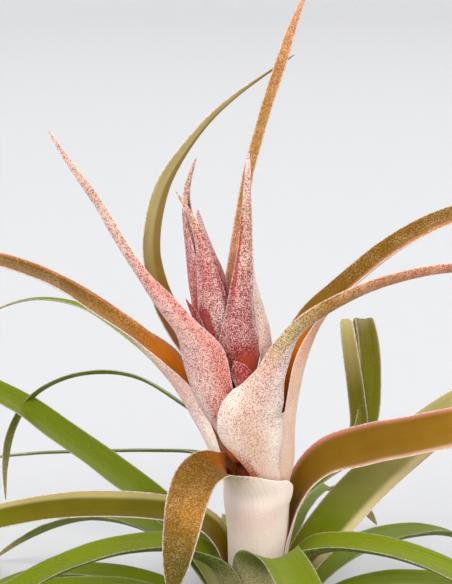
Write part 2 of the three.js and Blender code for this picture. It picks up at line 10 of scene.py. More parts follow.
import bpy
import numpy as np
from bpy.props import FloatProperty, FloatVectorProperty, IntProperty, PointerProperty
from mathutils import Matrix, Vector


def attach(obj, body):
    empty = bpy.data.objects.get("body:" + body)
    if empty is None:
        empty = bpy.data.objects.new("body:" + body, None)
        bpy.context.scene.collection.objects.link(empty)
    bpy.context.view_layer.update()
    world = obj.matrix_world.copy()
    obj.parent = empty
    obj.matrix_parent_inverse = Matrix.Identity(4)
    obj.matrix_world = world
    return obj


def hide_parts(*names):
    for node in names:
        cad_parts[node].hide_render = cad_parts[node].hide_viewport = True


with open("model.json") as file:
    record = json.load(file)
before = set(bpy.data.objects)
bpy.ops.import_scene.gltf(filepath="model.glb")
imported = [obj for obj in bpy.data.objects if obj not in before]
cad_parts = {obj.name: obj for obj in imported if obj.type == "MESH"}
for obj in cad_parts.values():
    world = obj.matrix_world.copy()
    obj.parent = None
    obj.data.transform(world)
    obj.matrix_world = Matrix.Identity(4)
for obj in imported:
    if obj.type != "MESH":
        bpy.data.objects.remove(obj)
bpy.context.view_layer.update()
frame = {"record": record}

bl_info = {
    "name": "Heather blush air plant",
    "version": (1, 0, 0),
    "blender": (4, 5, 0),
    "location": "View3D > Sidebar > Air plant",
    "description": "Leaves, bracts, stem and silver scales of a flowering air plant",
    "category": "Add Mesh",
}

MM = 0.001
GAP = 0.3  # clearance between a leaf base and the stem
MIDRIB_ROOM = 1.0  # room for the midrib where a lower leaf leaves the stem
TIGHTEST = 1.3  # smallest radius that a leaf is rolled to
FORK_HEIGHT = 92.0  # where the stem ends between the two spikes
LEAN = 7.0  # how far to the left the stem's end stands
LEAN_START = 45.0  # height from which the stem leans
SPIKE_AXIS = 1.3  # radius of the hidden axis of a spike
STEM_RADIUS = {0: 8.5, 6: 8, 24: 6.8, 44: 5.4, 60: 4.4, 78: 3.2, 92: 2.2}  # by height
CROWDING = 0.86  # how much closer the points across a leaf lie towards its margins
TIP_LENGTH = 2.2  # stretch in which a leaf closes to its point
ROLL = 0.22  # slow rise and fall of a blade
RIPPLE = 0.3  # wave of its margins
RIB_HEIGHT = 0.05  # height of its lengthwise ribs
HAIR_RADIUS = 0.05  # radius of a margin hair at its foot
FRINGE_WIDTH = 0.34  # width of the silver margin
BARE = ("red", "wine", "rust", "amber")  # washes that thin the scales out
THINNED = 0.78  # share of the scales that such a wash takes away
DEEPEN = (0.34, 0.14, 0.13)  # colour that the gaps between the scales multiply the tissue by
SCALE_PATCH = 6.0  # size of the patches in which the scales lie closer or wider

# Bracts of the head, those in front first. Each leaf has the points of its spine, and by the share
# of its length the way that its inner side faces, its half width and the angle that it is rolled to.
HEAD = {
    "bract_right_spike_front": {
        "spine": [[-3.2, -4.6, 84], [-3.7, -6.4, 90], [-4, -7.4, 96], [-4.1, -7.4, 103],
                  [-3.75, -6.4, 110], [-3.4, -5, 117], [-3, -3.8, 124], [-2.8, -2.4, 132],
                  [-2.4, -1, 142]],
        "faces": {0: [-0.3, 1, 0], 0.4: [-0.25, 1, 0], 0.6: [0, 1, 0], 1: [0, 1, 0]},
        "width": {0: 4.4, 0.14: 6.5, 0.33: 4.4, 0.57: 2.3, 0.83: 1.1, 1: 0.3},
        "arc": {0: 110, 0.4: 115, 1: 90},
    },
    "bract_left_spike_front": {
        "spine": [[-8.2, -3.4, 87], [-9.7, -4.7, 94], [-11.1, -5.4, 101], [-12.3, -5.6, 108],
                  [-13.4, -5.2, 115], [-14.6, -4.6, 120.4], [-16.4, -4, 125.2], [-18.3, -3.6, 129.1],
                  [-20.4, -3.4, 132.4]],
        "faces": {0: [0.2, 1, 0], 1: [0.2, 1, 0]},
        "width": {0: 3.2, 0.26: 4.7, 0.42: 4.1, 0.64: 2, 0.85: 0.85, 1: 0.25},
        "arc": {0: 110, 0.4: 110, 1: 70},
    },
    "bract_left_spike_keeled": {
        "spine": [[-11.6, 0, 87], [-13.8, -0.4, 94], [-15.8, -0.8, 101], [-17, -1.4, 109],
                  [-17.7, -1.8, 117], [-18.4, -2, 123.5], [-18.8, -2, 128]],
        "faces": {0: [1, 0.1, 0], 0.3: [1, 0.3, 0], 0.5: [0.85, 0.5, 0], 1: [0.8, 0.6, 0]},
        "width": {0: 3, 0.3: 3.9, 0.65: 2.8, 0.88: 1.2, 1: 0.3},
        "arc": {0: 120, 0.6: 110, 1: 70},
    },
    "bract_left_spike_right": {
        "spine": [[-6, 1, 89], [-6.4, 1, 96], [-7.2, 1, 103], [-8.9, 0.8, 110], [-11.2, 0.4, 115.6],
                  [-13.3, 0, 121.4], [-15.1, -0.2, 127.2]],
        "faces": {0: [-1, 0.1, 0], 0.4: [-0.9, 0.5, 0], 1: [-0.8, 0.6, 0]},
        "width": {0: 2.6, 0.3: 3.4, 0.7: 2, 0.92: 1.1, 1: 0.75},
        "arc": {0: 120, 0.6: 110, 1: 70},
    },
    "bract_left_spike_back": {
        "spine": [[-10, 4, 88], [-11.8, 4.6, 95], [-13.6, 4.6, 102], [-15.2, 4.2, 111], [-16.7, 3.2, 119],
                  [-17.7, 1.9, 126.4], [-17.9, 1, 130.4], [-17.2, 0.3, 134.6], [-15.3, -0.2, 140.2]],
        "faces": {0: [0.1, -1, 0], 0.8: [0.3, -1, 0], 1: [0.3, -1, 0.3]},
        "width": {0: 3, 0.25: 3.9, 0.5: 2.9, 0.73: 1.5, 0.88: 0.85, 1: 0.3},
        "arc": {0: 120, 0.6: 120, 1: 80},
    },
    "bract_right_spike_outer": {
        "spine": [[2, -0.4, 85], [3.5, -0.6, 90], [3.1, -0.8, 96], [1.5, -0.8, 102], [-0.2, -0.6, 108],
                  [-1.3, -0.2, 114], [-2, 0.4, 120]],
        "faces": {0: [-1, 0.3, 0], 1: [-1, 0.3, 0]},
        "width": {0: 3.4, 0.25: 4.6, 0.6: 2.8, 1: 0.3},
        "arc": {0: 120, 0.6: 110, 1: 80},
    },
    "bract_right_spike_back": {
        "spine": [[-3.6, 5, 86], [-3.6, 5.8, 92], [-3.4, 5.6, 99], [-3.2, 4.8, 107], [-3, 3.8, 115],
                  [-2.8, 2.8, 123], [-2.6, 2, 130]],
        "faces": {0: [0, -1, 0], 1: [0, -1, 0]},
        "width": {0: 3, 0.3: 4.2, 0.6: 2.6, 1: 0.3},
        "arc": {0: 120, 0.6: 120, 1: 80},
    },
    "bud_coral": {
        "spine": [[-0.8, -9.6, 79], [-2.4, -10.4, 83.5], [-4.3, -10.4, 87.6], [-6, -10, 91.2]],
        "faces": {0: [0, 1, 0], 1: [0, 1, 0]},
        "width": {0: 2.2, 0.45: 3.1, 0.78: 2.4, 1: 0.4},
        "arc": {0: 120, 1: 80},
    },
    "bud_dark": {
        "spine": [[-13, -4.9, 92], [-14.8, -4.9, 97.6], [-16.4, -4.5, 102], [-18, -4.1, 105.4]],
        "faces": {0: [0.6, 0.8, 0], 1: [0.6, 0.8, 0]},
        "width": {0: 1.4, 0.5: 1.6, 1: 0.3},
        "arc": {0: 120, 1: 80},
    },
}

# Leaves of the flower stem, the visible ones first.
FLOWER_LEAVES = {
    "leaf_front": {
        "spine": [[3.3, -6.8, 57], [1.9, -8.8, 62], [0.5, -10.6, 68], [-1.4, -12.4, 76.5], [0.8, -13, 82],
                  [2.9, -13.6, 87.4], [5.9, -14, 94.2], [11.2, -14, 100.6], [20.6, -13, 106.2],
                  [32.1, -11, 110.6], [47.6, -7, 112.7], [64, -2, 110], [79, 3, 104]],
        "faces": {0: [-0.2, 1, 0], 0.3: [-0.1, 1, 0.1], 0.38: [-0.2, 0.75, 0.6], 0.6: [-0.2, 0.45, 0.86],
                  1: [0.3, 0.3, 0.9]},
        "width": {0: 3.2, 0.05: 4.6, 0.145: 10, 0.2: 7.9, 0.29: 3.8, 0.36: 3.2, 0.5: 3.8, 0.8: 3, 1: 0.4},
        "arc": {0: 60, 0.12: 104, 0.25: 90, 0.4: 130, 1: 110},
    },
    "leaf_curled": {
        "spine": [[-5.3, -5.3, 34], [-5.3, -5.3, 40], [-5.5, -5.5, 44], [-6, -6.2, 49.4], [-6.6, -7, 55.4],
                  [-8.2, -9, 60.2], [-11.4, -12.2, 62.8], [-14.8, -15.8, 62], [-17, -18.6, 57.5],
                  [-18.6, -21.4, 50], [-20, -24, 42], [-21.6, -26.8, 34]],
        "faces": {0: [0.7, 0.7, 0], 0.28: [0.72, 0.68, 0], 0.34: [0.74, 0.5, 0.45], 0.46: [0, -0.4, 0.9],
                  0.6: [-0.3, -0.9, 0.4], 1: [-0.4, -0.9, 0]},
        "width": {0: 15.4, 0.22: 20, 0.275: 21.1, 0.3: 18.6, 0.33: 15, 0.37: 11, 0.43: 6.8, 0.64: 5.9,
                  0.86: 4, 1: 0.4},
        "arc": {0: 236, 0.22: 270, 0.275: 268, 0.3: 238, 0.33: 200, 0.37: 160, 0.46: 100, 1: 70},
    },
    "leaf_salmon": {
        "spine": [[-5.4, -4.3, 62.5], [-7, -4.6, 66], [-9.6, -7, 73], [-13.2, -8.8, 82], [-15.8, -9.4, 93],
                  [-21, -9, 102], [-27.2, -7.8, 109.8], [-33.6, -5.4, 119], [-39.6, -3, 129],
                  [-47.6, 1, 139.8], [-52, 3, 146.6]],
        "faces": {0: [0.72, 0.69, 0], 0.37: [0.5, 0.86, 0], 1: [0.2, 0.95, 0.1]},
        "width": {0: 3.8, 0.04: 5.6, 0.17: 7.2, 0.3: 7.7, 0.4: 4.2, 0.5: 2.8, 0.585: 1.8, 0.81: 1.3,
                  1: 0.3},
        "arc": {0: 90, 0.04: 96, 0.23: 102, 0.52: 100, 1: 60},
    },
    "leaf_right": {
        "spine": [[6.6, 0, 51], [8.2, 0, 56], [9.4, 0.2, 62], [9.6, 0.6, 69.5], [10.4, 2, 78],
                  [12.4, 4.4, 88.5], [16.8, 7.6, 98], [28.9, 13, 109], [39.5, 18, 115.6],
                  [50.9, 24, 119.8], [66, 32, 121], [82, 40, 117]],
        "faces": {0: [-1, 0.2, 0], 0.09: [-1, 0.2, 0], 0.14: [-1, 0.05, 0], 0.2: [-1, -0.15, 0.04],
                  0.25: [-1, -0.28, 0.08], 0.3: [-0.95, -0.36, 0.12], 0.38: [-0.9, -0.42, 0.3],
                  0.46: [-0.75, -0.45, 0.5], 0.6: [-0.4, -0.5, 0.8], 1: [0, -0.4, 0.9]},
        "width": {0: 5.2, 0.06: 7, 0.15: 8, 0.29: 9.2, 0.36: 7.2, 0.45: 4.9, 0.8: 3.4, 1: 0.4},
        "arc": {0: 105, 0.15: 118, 0.29: 154, 0.36: 136, 0.5: 110, 1: 80},
    },
    "leaf_left": {
        "spine": [[-6.5, 0.6, 55], [-8.4, 0.8, 58.6], [-11.4, 0.8, 62.4], [-14, 1.5, 67.5],
                  [-19, 3.6, 76.5], [-24.2, 5.6, 84], [-30.4, 7, 91], [-37.6, 8, 97], [-47.4, 8, 104],
                  [-57.6, 7, 109.5], [-68, 5, 113], [-84, 0, 114], [-99, -6, 109]],
        "faces": {0: [1, 0.1, 0], 0.12: [1, 0, 0.1], 0.2: [0.85, 0.08, 0.5], 0.3: [0.7, -0.24, 0.62],
                  0.4: [0.56, -0.36, 0.67], 0.5: [0.5, -0.5, 0.7], 1: [0, -0.4, 0.9]},
        "width": {0: 3.6, 0.13: 7.2, 0.28: 7.5, 0.37: 4.6, 0.5: 3.4, 0.8: 2.4, 1: 0.4},
        "arc": {0: 84, 0.12: 125, 0.2: 150, 0.3: 150, 0.42: 105, 1: 70},
    },
    "leaf_behind_head": {
        "spine": [[-3.2, 4.8, 74], [-5, 7, 84], [-6, 9.4, 94.2], [-6, 10.8, 104.2], [-5.1, 12, 115.5],
                  [-4, 13, 123.7], [-2.2, 15, 133.7], [0.1, 17, 142.1], [2.7, 20, 150.6], [5.6, 23, 159.1],
                  [9.3, 27, 169.6], [13.2, 31, 179.3]],
        "faces": {0: [0, -1, 0], 1: [-0.2, -1, 0.3]},
        "width": {0: 3.6, 0.16: 3.8, 0.36: 2.1, 0.5: 1.65, 0.82: 1.6, 1: 0.3},
        "arc": {0: 100, 0.5: 80, 1: 60},
    },
    "leaf_back_left": {
        "spine": [[-5.6, 4.6, 62], [-8.4, 6.6, 70], [-11.6, 9, 79], [-17, 12, 86], [-22.6, 16, 93],
                  [-26.8, 20, 102], [-28.6, 24, 111.3], [-27.4, 27, 120.8], [-24, 29, 130],
                  [-14, 31, 143.4], [-5.7, 31, 151], [9.8, 29, 162]],
        "faces": {0: [0.75, -0.65, 0], 0.5: [0.8, -0.55, 0.2], 1: [0.5, -0.6, -0.6]},
        "width": {0: 3.6, 0.2: 5.8, 0.38: 4.9, 0.55: 3.6, 0.75: 1.6, 1: 0.3},
        "arc": {0: 90, 0.5: 80, 1: 50},
    },
}

# Leaves of the rosette that the picture shows.
ROSETTE_LEAVES = {
    "leaf_lower_right": {
        "spine": [[7.4, 0.4, 30], [7.9, 0.6, 36], [8.9, 1.4, 42.3], [10.8, 2.6, 49.6], [13.8, 3.8, 55],
                  [18.9, 5.6, 59.4], [29.5, 9, 62], [40.1, 12, 63], [51.4, 15, 64.6], [64.5, 20, 65.4],
                  [81.1, 24, 63], [98, 28, 56]],
        "faces": {0: [-1, 0, 0], 0.2: [-0.9, -0.4, 0.2], 0.4: [-0.3, -0.75, 0.66], 1: [0, -0.7, 0.7]},
        "width": {0: 4.6, 0.3: 6.8, 0.7: 6, 0.9: 3, 1: 0.4},
        "arc": {0: 70, 0.4: 95, 1: 70},
    },
    "leaf_behind_lower_right": {
        "spine": [[6.6, 4, 19], [8.6, 5, 23], [11, 6.6, 27.4], [14, 8.6, 32.4], [19.6, 12, 38.4],
                  [27, 16.6, 45.6], [36.4, 22, 53], [47, 28, 60], [59.6, 35, 66.4], [74, 42, 70],
                  [91, 49, 69], [107, 56, 62]],
        "faces": {0: [-0.87, -0.5, 0], 0.2: [-0.5, -0.85, 0.4], 0.5: [-0.3, -0.8, 0.5], 1: [0, -0.5, 0.8]},
        "width": {0: 4.4, 0.25: 7, 0.5: 6.6, 0.7: 5, 0.9: 2.8, 1: 0.4},
        "arc": {0: 70, 0.4: 95, 1: 70},
    },
    "leaf_lower_left": {
        "spine": [[-7.2, 2.4, 28], [-8, 3.2, 33], [-10, 4.4, 38], [-13.8, 6, 41.8], [-24, 9, 44.1],
                  [-35.9, 11, 44.5], [-47.8, 12, 44.1], [-59.5, 11, 43], [-72.4, 8, 41], [-85, 4, 36.6],
                  [-97, 0, 28]],
        "faces": {0: [0.93, -0.36, 0], 0.25: [0.4, -0.5, 0.8], 1: [-0.1, -0.5, 0.85]},
        "width": {0: 4.4, 0.3: 5.2, 0.7: 4.4, 0.9: 2.6, 1: 0.4},
        "arc": {0: 70, 0.4: 95, 1: 70},
    },
    "leaf_green_left": {
        "spine": [[-4.6, 6.2, 14], [-8.3, 11.4, 20], [-15, 20, 28.5], [-26.1, 33, 36], [-40.5, 46, 43],
                  [-55.2, 57, 50], [-67.2, 65, 56], [-82.6, 74, 60.8], [-98, 82, 61.6], [-112, 89, 57],
                  [-122, 94, 50]],
        "faces": {0: [0.65, -0.75, 0], 0.3: [0.3, -0.6, 0.75], 1: [0, -0.4, 0.9]},
        "width": {0: 4.4, 0.3: 5.4, 0.5: 5, 0.7: 3.8, 0.9: 2.4, 1: 0.4},
        "arc": {0: 70, 0.4: 95, 1: 70},
    },
    "leaf_arching_left": {
        "spine": [[-5.2, 6.2, 34], [-5.8, 7.2, 42], [-7, 9.8, 50], [-9.4, 14, 59.2], [-14.9, 21, 65.8],
                  [-20.6, 28, 68.1], [-32.2, 43, 70.4], [-42, 52, 69.4], [-53.4, 60, 65.4],
                  [-63.3, 66, 58.1], [-69.7, 70, 47.1], [-72.3, 72, 35.7], [-73, 73, 24.5]],
        "faces": {0: [0.7, -0.7, 0], 0.4: [0.5, 0.3, 0.85], 0.7: [-0.3, 0.3, 0.9], 1: [-0.8, 0.3, 0.2]},
        "width": {0: 3.6, 0.3: 2.2, 0.65: 2.2, 0.85: 2.6, 1: 0.4},
        "arc": {0: 60, 0.4: 80, 1: 60},
    },
    "leaf_upright_right": {
        "spine": [[4.4, 6.4, 30], [6, 9, 38], [9.4, 13.6, 44], [17.6, 30, 45.3], [25.3, 46, 44.9],
                  [30.9, 60, 47.4], [33.8, 70, 54.8], [34.5, 78, 63], [34, 86, 69.9], [33.3, 94, 73.3],
                  [33.1, 103, 68.4], [33.4, 109, 57.2], [34.1, 112, 43.4]],
        "faces": {0: [-0.5, -0.85, 0], 0.3: [-0.2, -0.3, 0.9], 0.55: [-0.2, -0.9, 0.4],
                  0.75: [0, -0.3, 0.9], 1: [0, 1, 0]},
        "width": {0: 3.6, 0.3: 3, 0.5: 3.6, 0.7: 3.2, 0.9: 2.4, 1: 0.4},
        "arc": {0: 60, 0.4: 90, 1: 70},
    },
    "leaf_upright_behind": {
        "spine": [[3, 6.6, 34], [4.6, 9.6, 43], [8.6, 16, 47], [17.2, 34, 46.4], [27, 52, 46],
                  [30.4, 64, 49.7], [30, 72, 57.2], [29, 80, 64.9], [28.2, 88, 70.9], [28, 96, 72.8],
                  [28, 103, 71]],
        "faces": {0: [-0.4, -0.9, 0], 0.3: [-0.2, -0.3, 0.9], 0.7: [-0.2, -0.9, 0.4], 1: [0, 0.3, 0.9]},
        "width": {0: 3, 0.3: 2.4, 0.55: 3, 0.7: 2.8, 0.9: 2.2, 1: 0.4},
        "arc": {0: 60, 0.4: 90, 1: 70},
    },
    "leaf_level_left": {
        "spine": [[-1.6, 7.6, 31], [-2, 10, 40], [-4, 15, 48], [-8.6, 23, 51.6], [-15.1, 36, 51],
                  [-29.5, 54, 45.8], [-47.8, 72, 39.4], [-67.1, 88, 33.4], [-83.7, 99, 27.4],
                  [-97, 106, 19]],
        "faces": {0: [0.2, -1, 0], 0.3: [0.1, 0.2, 0.95], 1: [0, 0.2, 0.95]},
        "width": {0: 3.4, 0.3: 2.2, 0.7: 2, 1: 0.4},
        "arc": {0: 56, 0.4: 80, 1: 60},
    },
    "leaf_far_left": {
        "spine": [[1, 7, 38], [0, 11, 46], [-3, 19, 53.4], [-9, 32, 58], [-15.2, 45, 61], [-27, 68, 67.4],
                  [-39.3, 85, 73], [-51.9, 97, 77.2], [-66, 106, 77], [-79, 112, 72], [-89, 116, 64]],
        "faces": {0: [0, -1, 0], 0.3: [0.1, -0.1, 0.9], 1: [0, 0, 1]},
        "width": {0: 3.4, 0.3: 2.6, 0.7: 2, 1: 0.4},
        "arc": {0: 56, 0.4: 80, 1: 60},
    },
}

# Short leaves low on the stem. Their tips hang free.
SKIRT = {
    "angles": [-26, -78, 197],
    "heights": [24, 25.5, 22.5],
    "length": 96,
    "end": 16,
    "swing": 10,
    "tilt": {0: 9, 0.1: 26, 0.22: 66, 0.45: 90, 0.75: 106, 1: 116},
    "width": {0: 8, 0.12: 9.5, 0.25: 6.8, 0.6: 5.6, 0.88: 3, 1: 0.4},
    "arc": {0: 124, 0.12: 116, 0.3: 96, 1: 70},
}

# Lowest leaves, placed by the golden angle. Their tips rest on the ground.
RING = {
    "count": 13,
    "first_angle": -62,
    "turn": 137.5,
    "top": 17,
    "fall": 0.95,
    "longest": 126,
    "shortest": 98,
    "swing": 14,
    "tilt": {0: 30, 0.12: 56, 0.3: 80, 0.55: 94, 0.8: 106, 1: 112},
    "width": {0: 5, 0.3: 6, 0.7: 5, 0.9: 2.7, 1: 0.4},
    "arc": {0: 74, 0.25: 95, 0.6: 100, 1: 70},
}

